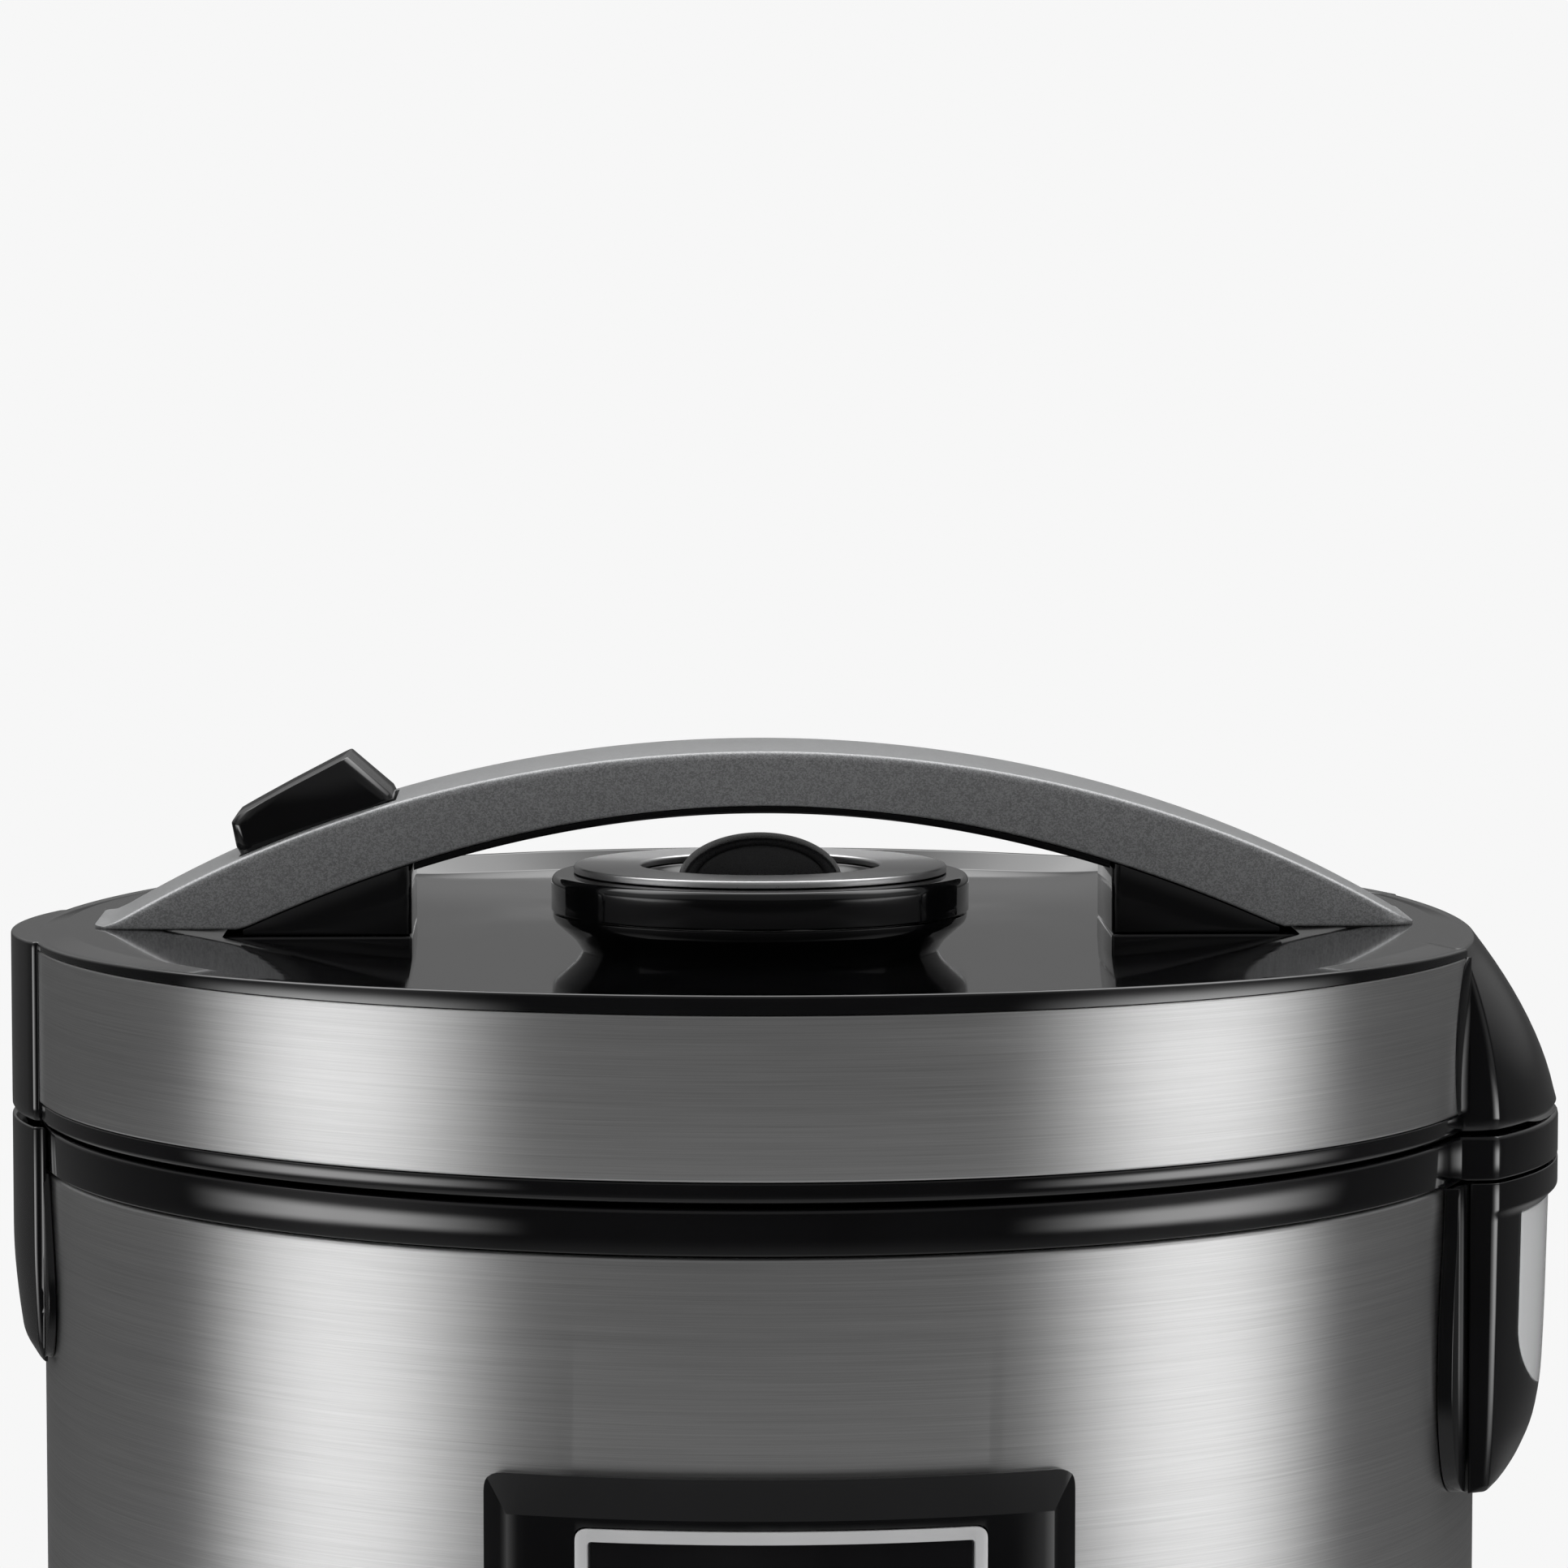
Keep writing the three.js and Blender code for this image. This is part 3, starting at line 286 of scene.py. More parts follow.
def make(name, shape, body, slot, replaces=None, bevel=0.0, crease=35, segments=3):
    """A piece straight from its shape, with its hard edges bevelled."""
    obj = raw(name + "_look", shape)
    if bevel:
        with editing(obj.data) as work:
            bevel_edges(work, hard_edges(work, crease), bevel, segments)
            bmesh.ops.remove_doubles(work, verts=work.verts, dist=1e-7)
    return finish(obj, body, slot, replaces)


def carve(name, shape, body, slot, cuts=(), trim=None, soft=0.0, crease=38, segments=2, **options):
    """A piece that is trimmed to one shape, has others cut out of it, and is then rounded."""
    obj = raw(name + "_look", shape)
    if trim:
        cut(obj, [trim], "INTERSECT")
    cut(obj, cuts)
    if soft:
        round_edges(obj, soft, crease, segments)
    return finish(obj, body, slot, **options)


def round_uv(data):
    """u runs round the drum's axis and v runs up it, so that brushed metal knows its direction."""
    layer = data.uv_layers.new(name="round")
    for face in data.polygons:
        middle = math.atan2(face.center.y - AXIS_Y, face.center.x - AXIS_X)
        for loop in face.loop_indices:
            place = data.vertices[data.loops[loop].vertex_index].co
            angle = math.atan2(place.y - AXIS_Y, place.x - AXIS_X)
            turn = round((middle - angle) / FULL_TURN)
            layer.data[loop].uv = (angle / FULL_TURN + turn, place.z * 4)


def sweep(angles, outline_at, closed=False):
    """An outline of (r, z) points carried round the drum's axis, which may change as it goes."""
    rows = []
    for angle in angles:
        c, s = math.cos(angle), math.sin(angle)
        rows.append([(r * c, r * s, z) for r, z in outline_at(angle)])
    return loft_mesh(rows, closed)


def full_turn(outline, count=256):
    """An outline of (r, z) points turned all the way round the drum's axis."""
    return sweep([FULL_TURN * i / count for i in range(count)], lambda angle: outline, True)


def lathe(outline, count=256, steps=4):
    """A full turn of an outline of (r, z, radius) corners."""
    return full_turn(rounded(outline, steps), count)


def prism(outline, axis, low, high, layers=1):
    """An outline pushed along an axis; (u, v) are the other two axes in X, Y, Z order."""
    def at(u, v, w):
        return {"x": (w, u, v), "y": (u, w, v), "z": (u, v, w)}[axis]
    return loft_mesh([[at(u, v, w) for u, v in outline] for w in span(low, high, layers)], False)


def block(x0, x1, y0, y1, z0, z1):
    return prism([(x0, y0), (x1, y0), (x1, y1), (x0, y1)], "z", z0, z1)


def joined(*shapes):
    points, faces = [], []
    for more_points, more_faces in shapes:
        start = len(points)
        points += more_points
        faces += [tuple(i + start for i in face) for face in more_faces]
    return points, faces


# ------------------------------------------------------------------ plan outlines and heights
def tab_reach(angle, tab):
    """Distance from the axis to a tab's outer face, at an angle from the tab's middle.

    The corner between the outer face and the side face is rounded.
    """
    half, corner, middle = tab["half"], tab["corner"], tab["middle"]
    centre = (middle ** 2 - corner ** 2 - half ** 2) / (2 * (middle - corner))
    radius = middle - centre
    across = abs(math.sin(angle))
    face = centre * math.cos(angle) + math.sqrt(radius ** 2 - (centre * across) ** 2)
    flank = half / max(across, 1e-6)
    overlap = max(0.0, CORNER_BLEND - abs(face - flank))
    return min(face, flank) - overlap ** 2 / (4 * CORNER_BLEND)


def corner_angles(tab):
    """Angles from a tab's middle that are close enough together to draw its rounded corner."""
    corner = math.atan2(tab["half"], tab["corner"])
    reach = math.hypot(tab["half"], tab["corner"])
    steep = CORNER_BLEND / (reach / math.tan(corner))
    return [corner + steep * t for t in span(-1.0, 1.0, 8)]


def in_tab(offset, tab, radius):
    """Whether an angle from a tab's middle falls inside the tab."""
    return abs(offset) < math.asin(tab["half"] / radius) + 1e-6


def ring_angles(count=240):
    """Angles all round, with stops where the tabs' side faces begin and end."""
    angles = [FULL_TURN * (i - count / 2 + 1) / count for i in range(count)]
    stops = []
    for tab, turned in ((LATCH_TAB, math.pi), (HINGE_TAB, 0.0)):
        side = math.asin(tab["half"] / RIM_R)
        for offset in (side, side + 0.002, *corner_angles(tab)):
            stops += [turned - offset, -(turned - offset)]
    far = [a for a in angles if all(abs(a - s) > 0.004 for s in stops)]
    return sorted(far + stops)


def hinge_cover_at(z):
    """The hinge tab's outline at a height: the cover over the hinge leans in as it rises."""
    return {
        "half": HINGE_TAB["half"],
        "corner": HINGE_TAB["corner"] - 0.0058 * max(0.0, z - LID_LOW) ** 2,
        "middle": HINGE_TAB["middle"] - 0.0306 * max(0.0, z - 195) ** 1.75,
    }


def crease_at(y, crease):
    """|x| of a crease in the deck, which comes in from the arch's end as y leaves the middle."""
    return crease["far"] + crease["more"] / (1 + (y / crease["width"]) ** crease["power"])


def slope_up(x, edge):
    """From 0 in the dish to 1 at a crease, as a straight slope with a soft foot."""
    def climbed(reach):
        return 0.5 * (reach - DISH_EDGE + math.hypot(reach - DISH_EDGE, DISH_SOFT))
    return climbed(min(abs(x), edge)) / climbed(edge)


def deck_height(x, y):
    """The lid's deck: a dish in the middle that climbs to the arch's ends in two slopes."""
    first = slope_up(x, crease_at(y, INNER_CREASE))
    second = slope_up(x, crease_at(y, OUTER_CREASE))
    risen = DECK_FIRST_RISE * first + (1 - DECK_FIRST_RISE) * second
    outward = clamp((math.hypot(x, y) - BOWL_START) / (BOWL_END - BOWL_START), 0, 1)
    return DECK_Z + (DECK_EDGE_Z - DECK_Z) * risen + BOWL_RISE * outward ** 3 * (1 - risen)


def rim_height(x):
    """Top of the lid's rim, which falls a little towards the sides."""
    return RIM_TOP - RIM_FALL * (abs(x) / DRUM_R) ** 2.5


def arch_top(x):
    """Upper face of the carrying arch."""
    t = x / DRUM_R
    return DRUM_TOP + DRUM_R * (0.5678 - 0.2614 * t ** 2 - 0.0407 * t ** 4)


def arch_low(x):
    """Lower face of the carrying arch, down to where its ends sit on the deck."""
    t = x / DRUM_R
    return max(HANDLE_SEAT, DRUM_TOP + DRUM_R * (0.4921 - 0.3405 * t ** 2 + 0.0257 * t ** 4))


# ------------------------------------------------------------------ materials
def start_paint(name, color, roughness, metallic=0.0, specular=0.5, anisotropy=0.0, coat=0.0,
                coat_roughness=0.03):
    paint = bpy.data.materials.new(name)
    paint.use_nodes = True
    tree = paint.node_tree
    shader = tree.nodes["Principled BSDF"]
    shader.inputs["Base Color"].default_value = (*color, 1)
    shader.inputs["Roughness"].default_value = roughness
    shader.inputs["Metallic"].default_value = metallic
    shader.inputs["Specular IOR Level"].default_value = specular
    shader.inputs["Anisotropic"].default_value = anisotropy
    shader.inputs["Coat Weight"].default_value = coat
    shader.inputs["Coat Roughness"].default_value = coat_roughness
    return paint, tree, shader


def node(tree, kind, sockets=None, **settings):
    """A node with its settings, and its sockets given as values or as other nodes' outputs."""
    made = tree.nodes.new("ShaderNode" + kind)
    for key, value in settings.items():
        setattr(made, key, value)
    for key, value in (sockets or {}).items():
        socket = made.inputs[key]
        if isinstance(value, bpy.types.NodeSocket):
            tree.links.new(value, socket)
        else:
            socket.default_value = value
    return made


def math_node(tree, operation, a, b=0.0):
    return node(tree, "Math", {0: a, 1: b}, operation=operation).outputs[0]


def place_in_mm(tree):
    """Object-space place, in millimetres about the drum's axis."""
    coordinates = node(tree, "TexCoord").outputs["Object"]
    shifted = node(tree, "VectorMath", {0: coordinates, 1: (AXIS_X, AXIS_Y, 0)},
                   operation="SUBTRACT").outputs[0]
    return node(tree, "VectorMath", {0: shifted, "Scale": 1 / MM}, operation="SCALE").outputs[0]


def round_place(tree):
    """(distance round, radius, height) in millimetres, for grain that runs round the drum."""
    split = node(tree, "SeparateXYZ", {0: place_in_mm(tree)}).outputs
    angle = math_node(tree, "ARCTAN2", split[1], split[0])
    flat = node(tree, "CombineXYZ", {0: split[0], 1: split[1]}).outputs[0]
    reach = node(tree, "VectorMath", {0: flat}, operation="LENGTH").outputs["Value"]
    around = math_node(tree, "MULTIPLY", angle, DRUM_R)
    return node(tree, "CombineXYZ", {0: around, 1: reach, 2: split[2]}).outputs[0]


def noise(tree, place, scale, stretch=(1, 1, 1), detail=3.0, roughness=0.55):
    mapped = node(tree, "Mapping", {"Vector": place, "Scale": stretch})
    made = node(tree, "TexNoise", {"Vector": mapped.outputs[0], "Scale": scale, "Detail": detail,
                                   "Roughness": roughness})
    return made.outputs["Fac"]


def remap(tree, value, low, high, start=0.25, stop=0.75):
    return node(tree, "MapRange", {"Value": value, "From Min": start, "From Max": stop,
                                   "To Min": low, "To Max": high}).outputs[0]


def tint(tree, value, dark, light):
    made = node(tree, "ValToRGB", {"Fac": value})
    made.color_ramp.elements[0].color = (*dark, 1)
    made.color_ramp.elements[1].color = (*light, 1)
    made.color_ramp.elements[0].position = 0.3
    made.color_ramp.elements[1].position = 0.7
    return made.outputs[0]


def shade(color, factor):
    return tuple(c * factor for c in color)


def mixed(tree, first, second, share):
    """The first value, and the second by its share."""
    return math_node(tree, "ADD", math_node(tree, "MULTIPLY", first, 1 - share),
                     math_node(tree, "MULTIPLY", second, share))


def wire(tree, shader, color=None, rough=None, height=None, depth=0.0, strength=1.0):
    """Links a paint's colour, its roughness, and its bump, whose depth is in metres."""
    if color is not None:
        tree.links.new(color, shader.inputs["Base Color"])
    if rough is not None:
        tree.links.new(rough, shader.inputs["Roughness"])
    if height is not None:
        relief = node(tree, "Bump", {"Height": height, "Distance": depth, "Strength": strength})
        tree.links.new(relief.outputs[0], shader.inputs["Normal"])


def brushed_paint(name, color):
    """Steel brushed round the drum: long fine scratches, and a reflection smeared across them."""
    paint, tree, shader = start_paint(name, color, 0.3, metallic=1.0, anisotropy=0.85)
    shader.inputs["Anisotropic Rotation"].default_value = 0.25
    place = round_place(tree)
    hair = noise(tree, place, 1.0, (0.03, 0.2, 5.0), detail=3.0, roughness=0.65)
    streak = noise(tree, place, 1.0, (0.014, 0.05, 2.6), detail=3.0, roughness=0.65)
    wide = noise(tree, place, 1.0, (0.006, 0.02, 0.25), detail=2.0)
    grain = mixed(tree, hair, streak, 0.4)
    uneven = math_node(tree, "MULTIPLY", wide, 0.03)
    wire(tree, shader, tint(tree, grain, shade(color, 0.84), shade(color, 1.16)),
         math_node(tree, "ADD", remap(tree, grain, 0.29, 0.35), uneven), grain, 0.00001, 0.25)
    tangent = node(tree, "Tangent", direction_type="UV_MAP", uv_map="round")
    tree.links.new(tangent.outputs[0], shader.inputs["Tangent"])
    return paint


def gloss_paint(name, color):
    """Moulded gloss plastic: a faint ripple from the mould and a little handling haze."""
    paint, tree, shader = start_paint(name, color, 0.06, coat=0.25, coat_roughness=0.02)
    place = place_in_mm(tree)
    haze = noise(tree, place, 0.035, detail=4.0)
    ripple = noise(tree, place, 0.16, detail=1.0)
    wire(tree, shader, tint(tree, haze, color, tuple(c * 1.5 + 0.0004 for c in color)),
         remap(tree, haze, 0.042, 0.102), ripple, 0.00003, 0.12)
    return paint


def matte_paint(name, color, roughness=0.55, grain=2.6):
    """Spark-eroded matte plastic: fine pitted texture, duller in its hollows."""
    paint, tree, shader = start_paint(name, color, roughness)
    place = place_in_mm(tree)
    pits = noise(tree, place, grain, detail=2.0, roughness=0.6)
    cloud = noise(tree, place, 0.05, detail=3.0)
    wire(tree, shader, tint(tree, cloud, shade(color, 0.85), shade(color, 1.2)),
         remap(tree, pits, roughness - 0.08, roughness + 0.1), pits, 0.00006, 0.5)
    return paint


def silver_paint(name, color):
    """Metallic paint: fine bright flakes in a grey binder under a satin lacquer."""
    paint, tree, shader = start_paint(name, color, 0.42, metallic=0.5, coat=0.3, coat_roughness=0.2)
    place = place_in_mm(tree)
    flake = node(tree, "TexVoronoi", {"Vector": place, "Scale": 4.5}, feature="F1")
    cells = node(tree, "SeparateColor", {0: flake.outputs["Color"]}).outputs
    mottle = noise(tree, place, 0.9, detail=4.0, roughness=0.7)
    speckle = mixed(tree, cells[0], mottle, 0.45)
    wire(tree, shader, tint(tree, speckle, shade(color, 0.8), shade(color, 1.3)),
         remap(tree, speckle, 0.34, 0.46), cells[1], 0.00001, 0.18)
    return paint


def trim_paint(name, metallic, roughness):
    """Satin silver trim with a fine, even grain."""
    paint, tree, shader = start_paint(name, (0.6, 0.6, 0.605), roughness, metallic=metallic)
    place = place_in_mm(tree)
    grain = noise(tree, place, 5.0, detail=2.0)
    cloud = noise(tree, place, 0.06, detail=2.0)
    wire(tree, shader, tint(tree, cloud, (0.57, 0.57, 0.575), (0.63, 0.63, 0.635)),
         remap(tree, grain, roughness - 0.03, roughness + 0.04), grain, 0.000005, 0.15)
    return paint


def spun_paint(name, color, roughness):
    """Spun aluminium: rings about the axis that the lathe tool leaves."""
    paint, tree, shader = start_paint(name, color, roughness, metallic=1.0, anisotropy=0.55)
    rings = noise(tree, round_place(tree), 1.0, (0.02, 2.4, 2.4), detail=4.0, roughness=0.65)
    wire(tree, shader, tint(tree, rings, shade(color, 0.85), color),
         remap(tree, rings, roughness - 0.08, roughness + 0.1), rings, 0.00003, 0.3)
    return paint


def coating_paint(name):
    """Non-stick coating: near-black with fine pale flecks, slightly orange-peeled."""
    paint, tree, shader = start_paint(name, (0.03, 0.03, 0.033), 0.36, specular=0.55)
    place = place_in_mm(tree)
    cells = node(tree, "TexVoronoi", {"Vector": place, "Scale": 0.9}, feature="F1")
    fleck = remap(tree, cells.outputs["Distance"], 1.0, 0.0, 0.1, 0.16)
    flecked = node(tree, "Mix", {"Factor": fleck, 6: (0.028, 0.028, 0.031, 1),
                                 7: (0.16, 0.16, 0.165, 1)}, data_type="RGBA")
    peel = noise(tree, place, 0.8, detail=2.0)
    wire(tree, shader, flecked.outputs[2], remap(tree, peel, 0.28, 0.44), peel, 0.00008, 0.3)
    return paint


def clear_paint(name):
    """Clear moulded plastic, gone milky, with a slight haze and a few fine scuffs."""
    paint, tree, shader = start_paint(name, (0.95, 0.957, 0.965), 0.07)
    shader.inputs["Transmission Weight"].default_value = 0.34
    shader.inputs["IOR"].default_value = 1.46
    place = place_in_mm(tree)
    haze = noise(tree, place, 0.08, detail=4.0)
    scuff = noise(tree, place, 1.0, (0.3, 0.3, 4.0), detail=4.0, roughness=0.7)
    worn = math_node(tree, "MULTIPLY", haze, scuff)
    wire(tree, shader, None, remap(tree, worn, 0.04, 0.16, 0.1, 0.45), haze, 0.0001, 0.15)
    return paint


def glass_paint(name):
    """Smoked display window over a dark screen, with a faint smear on it."""
    paint, tree, shader = start_paint(name, (0.003, 0.003, 0.0035), 0.04, specular=0.55, coat=0.6,
                                      coat_roughness=0.01)
    smear = noise(tree, place_in_mm(tree), 0.03, (1, 1, 0.5), detail=3.0)
    wire(tree, shader, tint(tree, smear, (0.002, 0.002, 0.0025), (0.006, 0.006, 0.0065)),
         remap(tree, smear, 0.03, 0.09))
    return paint


def board_paint(name):
    """Green solder mask with tracks showing as a paler, raised grid."""
    paint, tree, shader = start_paint(name, (0.02, 0.11, 0.05), 0.35)
    place = place_in_mm(tree)
    tracks = node(tree, "TexBrick", {"Vector": place, "Scale": 0.25, "Mortar Size": 0.08,
                                     "Color1": (0.015, 0.09, 0.04, 1), "Color2": (0.02, 0.12, 0.055, 1),
                                     "Mortar": (0.05, 0.2, 0.1, 1)}).outputs
    wire(tree, shader, tracks["Color"], remap(tree, noise(tree, place, 0.4), 0.28, 0.5),
         tracks["Fac"], 0.00005, 0.4)
    return paint


def metal_paint(name, color, roughness):
    """Drawn or stamped metal: fine even scratches and slight dulling."""
    paint, tree, shader = start_paint(name, color, roughness, metallic=1.0)
    wear = noise(tree, place_in_mm(tree), 0.6, (1, 1, 3), detail=5.0, roughness=0.7)
    wire(tree, shader, tint(tree, wear, shade(color, 0.8), color),
         remap(tree, wear, roughness - 0.08, roughness + 0.15), wear, 0.00003, 0.25)
    return paint


PAINT = {
    "brushed_steel": brushed_paint("brushed steel", (0.625, 0.625, 0.625)),
    "gloss_black": gloss_paint("gloss black plastic", (0.0022, 0.0022, 0.0025)),
    "matte_black": matte_paint("matte black plastic", (0.018, 0.018, 0.019)),
    "grip_black": matte_paint("satin grip plastic", (0.02, 0.02, 0.021), roughness=0.3, grain=3.5),
    "key_black": matte_paint("satin key plastic", (0.014, 0.014, 0.015), roughness=0.34, grain=3.5),
    "silver_paint": silver_paint("silver arch paint", (0.268, 0.271, 0.275)),
    "bright_trim": trim_paint("satin bright trim", 0.85, 0.3),
    "frame_silver": trim_paint("silver window frame", 0.25, 0.4),
    "display_glass": glass_paint("smoked window"),
    "clear_plastic": clear_paint("clear cup plastic"),
    "aluminium": spun_paint("spun aluminium", (0.7, 0.71, 0.72), 0.32),
    "pot_coating": coating_paint("non-stick coating"),
    "spring_steel": metal_paint("bare steel", (0.5, 0.5, 0.51), 0.3),
    "foot_rubber": matte_paint("foot rubber", (0.022, 0.022, 0.022), roughness=0.8, grain=1.6),
    "silicone": matte_paint("milky silicone", (0.62, 0.63, 0.61), roughness=0.5, grain=1.2),
    "circuit_board": board_paint("circuit board"),
    "brass": metal_paint("plated brass", (0.62, 0.47, 0.22), 0.25),
}


# ------------------------------------------------------------------ body
def steel_body():
    """Outer sheet as a thin skin with its panel and inlet windows, then given its thickness."""
    window = (FRONT - 36 / DRUM_R, FRONT + 36 / DRUM_R, 47.0, 140.0)
    inlet = (-(INLET["half"] + 0.4) / DRUM_R, (INLET["half"] + 0.4) / DRUM_R,
             INLET["low"] - 0.4, INLET["top"] + 0.4)
    stops = sorted(span(-math.pi, math.pi, 240)[1:] + [window[0], window[1], inlet[0], inlet[1]])
    rolled = [(DRUM_TOP - ROLL * (1 - math.sin(a)), ROLL * (1 - math.cos(a))) for a in span(0, 1.35, 5)]
    levels = sorted([(z, 0.0) for z in (DRUM_LOW, inlet[2], window[2], inlet[3], window[3])] + rolled)
    heights = [z for z, _ in levels]
    points = [((DRUM_R - inset) * math.cos(a), (DRUM_R - inset) * math.sin(a), z)
              for a in stops for z, inset in levels]
    faces = []
    for j, angle in enumerate(stops):
        following = stops[(j + 1) % len(stops)] + (FULL_TURN if j + 1 == len(stops) else 0)
        middle = (angle + following) / 2
        for i in range(len(heights) - 1):
            z = (heights[i] + heights[i + 1]) / 2
            if any(a0 < middle < a1 and z0 < z < z1 for a0, a1, z0, z1 in (window, inlet)):
                continue
            here = j * len(heights) + i
            there = ((j + 1) % len(stops)) * len(heights) + i
            faces.append((here, there, there + 1, here + 1))
    skin = raw("steel_body_look", (points, faces))
    thicken(skin, STEEL)
    round_edges(skin, 0.32, crease=60, segments=3)
    finish(skin, "base", "brushed_steel")


def thicken(obj, depth):
    """Gives a skin its thickness, inwards."""
    modifier = obj.modifiers.new("sheet", "SOLIDIFY")
    modifier.thickness = depth * MM
    modifier.offset = -1
    modifier.use_even_offset = True
    apply_modifiers(obj)


def hinge_face_at(y):
    """x of the hinge tab's outer face, as a parabola close to its arc."""
    tab = HINGE_TAB
    return tab["middle"] - (tab["middle"] - tab["corner"]) * (y / tab["half"]) ** 2


def hinge_scoop():
    """The room that the lid's hinge cover needs as it swings round the pin."""
    drop = HINGE_Z - LID_LOW
    rows = []
    for y in span(-34, 34, 24):
        reach = math.hypot(max(0.0, hinge_face_at(y) - HINGE_X), drop) + 0.4
        rows.append([(x, y, z) for x, z in circle(HINGE_X, HINGE_Z, reach, 72)])
    return loft_mesh(rows, False)


def upper_ring():
    """The black ring on top of the drum, with its two hinge ears."""
    top = RING_TOP

    def outline(angle):
        reach = DRUM_R + 0.5
        if in_tab(angle, HINGE_TAB, DRUM_R + 0.5):
            reach = max(reach, tab_reach(angle, HINGE_TAB))
        return rounded([
            (106.5, 194.2, 0.4), (112.2, 194.2, 0.4), (112.2, top, 0.5), (reach, top, 0.9),
            (reach, RING_LOW, 0.35), (131.8, RING_LOW, 0.1), (131.8, 182, 0.3), (129.8, 182, 0.3),
            (129.8, 195.8, 0.3), (114.5, 195.8, 0.3), (114.5, 191.5, 0.3), (106.5, 191.5, 0.3),
        ], steps=3)

    hook_slot = block(-133.6, -127.5, -7, 7, 180, 200)
    carve("body_upper_ring", sweep(ring_angles(), outline, True), "base", "gloss_black",
          [hinge_scoop(), hook_slot])
    for i, (low, high) in enumerate(((-18.3, -12.8), (12.8, 18.3))):
        make(f"hinge_ear_{i + 1}", prism(ear_outline(), "y", low, high), "base", "gloss_black", (),
             bevel=0.35)


def ear_outline():
    """The body's hinge ears, seen from the side."""
    return [(136, HINGE_Z - 2.4), *arc(HINGE_X, HINGE_Z, 2.4, FRONT, -FRONT, 12),
            (130, HINGE_Z + 2.4), (130, 192), (136, 192)]


def latch_housing():
    """The block on the latch side, narrowing at its foot, and the thin flange around it."""
    inner = DRUM_R + 0.8
    half = math.asin(LATCH_TAB["half"] / DRUM_R)
    levels = [(RING_TOP, 0, 0.5), (173, 0, 6), (164, 0.9, 4), (157.5, 1.9, 2), (155, 4.2, 1.5)]

    def outline(angle):
        outer = []
        for z, inset, soft in levels:
            tab = dict(LATCH_TAB, middle=LATCH_TAB["middle"] - inset,
                       corner=LATCH_TAB["corner"] - inset / 3)
            outer.append((max(inner + 0.6, tab_reach(math.pi - angle, tab)), z, soft))
        return rounded([*outer, (inner, 155, 0.2), (inner, RING_TOP, 0.2)], steps=4)

    corners = [math.pi + s * a for s in (-1, 1) for a in corner_angles(LATCH_TAB) if a < half]
    block_angles = sorted(span(math.pi - half, math.pi + half, 40) + corners)
    make("latch_housing", sweep(block_angles, outline), "base", "gloss_black", bevel=0.7, crease=50)
    flange = bent_plate(math.pi, 0.275, 1.4, 156, 40)
    trim = prism(rounded([
        (-29.3, 191, 0), (-29.3, 189.8, 2), (-35.8, 168, 9), (-34, 155.6, 7), (34, 155.6, 7),
        (35.8, 168, 9), (29.3, 189.8, 2), (29.3, 191, 0)]), "x", -150, -100)
    carve("latch_flange", flange, "base", "gloss_black", trim=trim, soft=0.4, replaces=())


def bent_plate(middle, half, thick, low, count):
    """A plate that lies round the drum, under the body's upper ring."""
    inner, outer = DRUM_R + 0.15, DRUM_R + thick
    section = [(inner, low), (outer, low), (outer, FLANGE_TOP), (inner, FLANGE_TOP)]
    return sweep(span(middle - half, middle + half, count), lambda angle: section)


def hinge_flange():
    """The thin apron round the hinge housing, wider than it and bulging at its sides."""
    side = [(56.2, 191, 0), (56.2, 184, 10), (59, 165, 10), (59, 146, 10), (55, 133.1, 8)]
    outline = [(-y, z, soft) for y, z, soft in side] + side[::-1]
    carve("hinge_flange", bent_plate(0.0, 0.46, 2.5, HOUSING_LOW, 60), "base", "gloss_black",
          trim=prism(rounded(outline, steps=6), "x", 100, 150), soft=0.8, segments=3)


def housing_shape(outset, inner, top=FLANGE_TOP):
    """The hinge housing's body: its outer face as a run of levels round the hinge side."""
    half = math.asin((HINGE_TAB["half"] + outset) / HOUSING_INNER)
    above = [level for level in HOUSING_LEVELS if level[0] >= top]
    below = [level for level in HOUSING_LEVELS if level[0] < top]

    def outline(angle):
        outer = []
        for z, middle, corner, soft in (above[-1], *below):
            tab = {"half": HINGE_TAB["half"] + outset, "corner": corner + outset,
                   "middle": middle + outset}
            outer.append((max(inner + 0.5, tab_reach(angle, tab)), min(z, top), soft))
        return rounded([*outer, (inner, HOUSING_LOW, 0.2), (inner, top, 0.2)], steps=4)

    corners = [s * a for s in (-1, 1) for a in corner_angles(HINGE_TAB) if a < half]
    return sweep(sorted(span(-half, half, 64) + corners), outline)


def cup_outline(inset, low, top):
    """The cup seen from the hinge side: straight at the top, and round below its shoulders."""
    half = CUP["half"] - inset
    bend = [(half - 27 * (1 - math.cos(a)), CUP["shoulder"] - (CUP["shoulder"] - low) * math.sin(a))
            for a in span(0, math.pi / 2, 16)]
    right = [(half, top), *bend]
    return right + [(-y, z) for y, z in reversed(right)]


def hinge_housing():
    """The block on the hinge side, with a pocket for the cup."""
    pocket = prism(cup_outline(-GAP, CUP["low"] - GAP, CUP["top"] + 0.2), "x", *HINGE_SIDE)
    carve("hinge_housing", housing_shape(0, HOUSING_INNER), "base", "gloss_black", [pocket],
          soft=0.35, crease=42)


def drain_spout():
    carve("drain_spout", block(139.6, 144.4, -7, 7, 172, CUP["top"] - 0.1), "base", "matte_black",
          [block(140.8, 143.2, -5.8, 5.8, 170, 190)], soft=0.5)


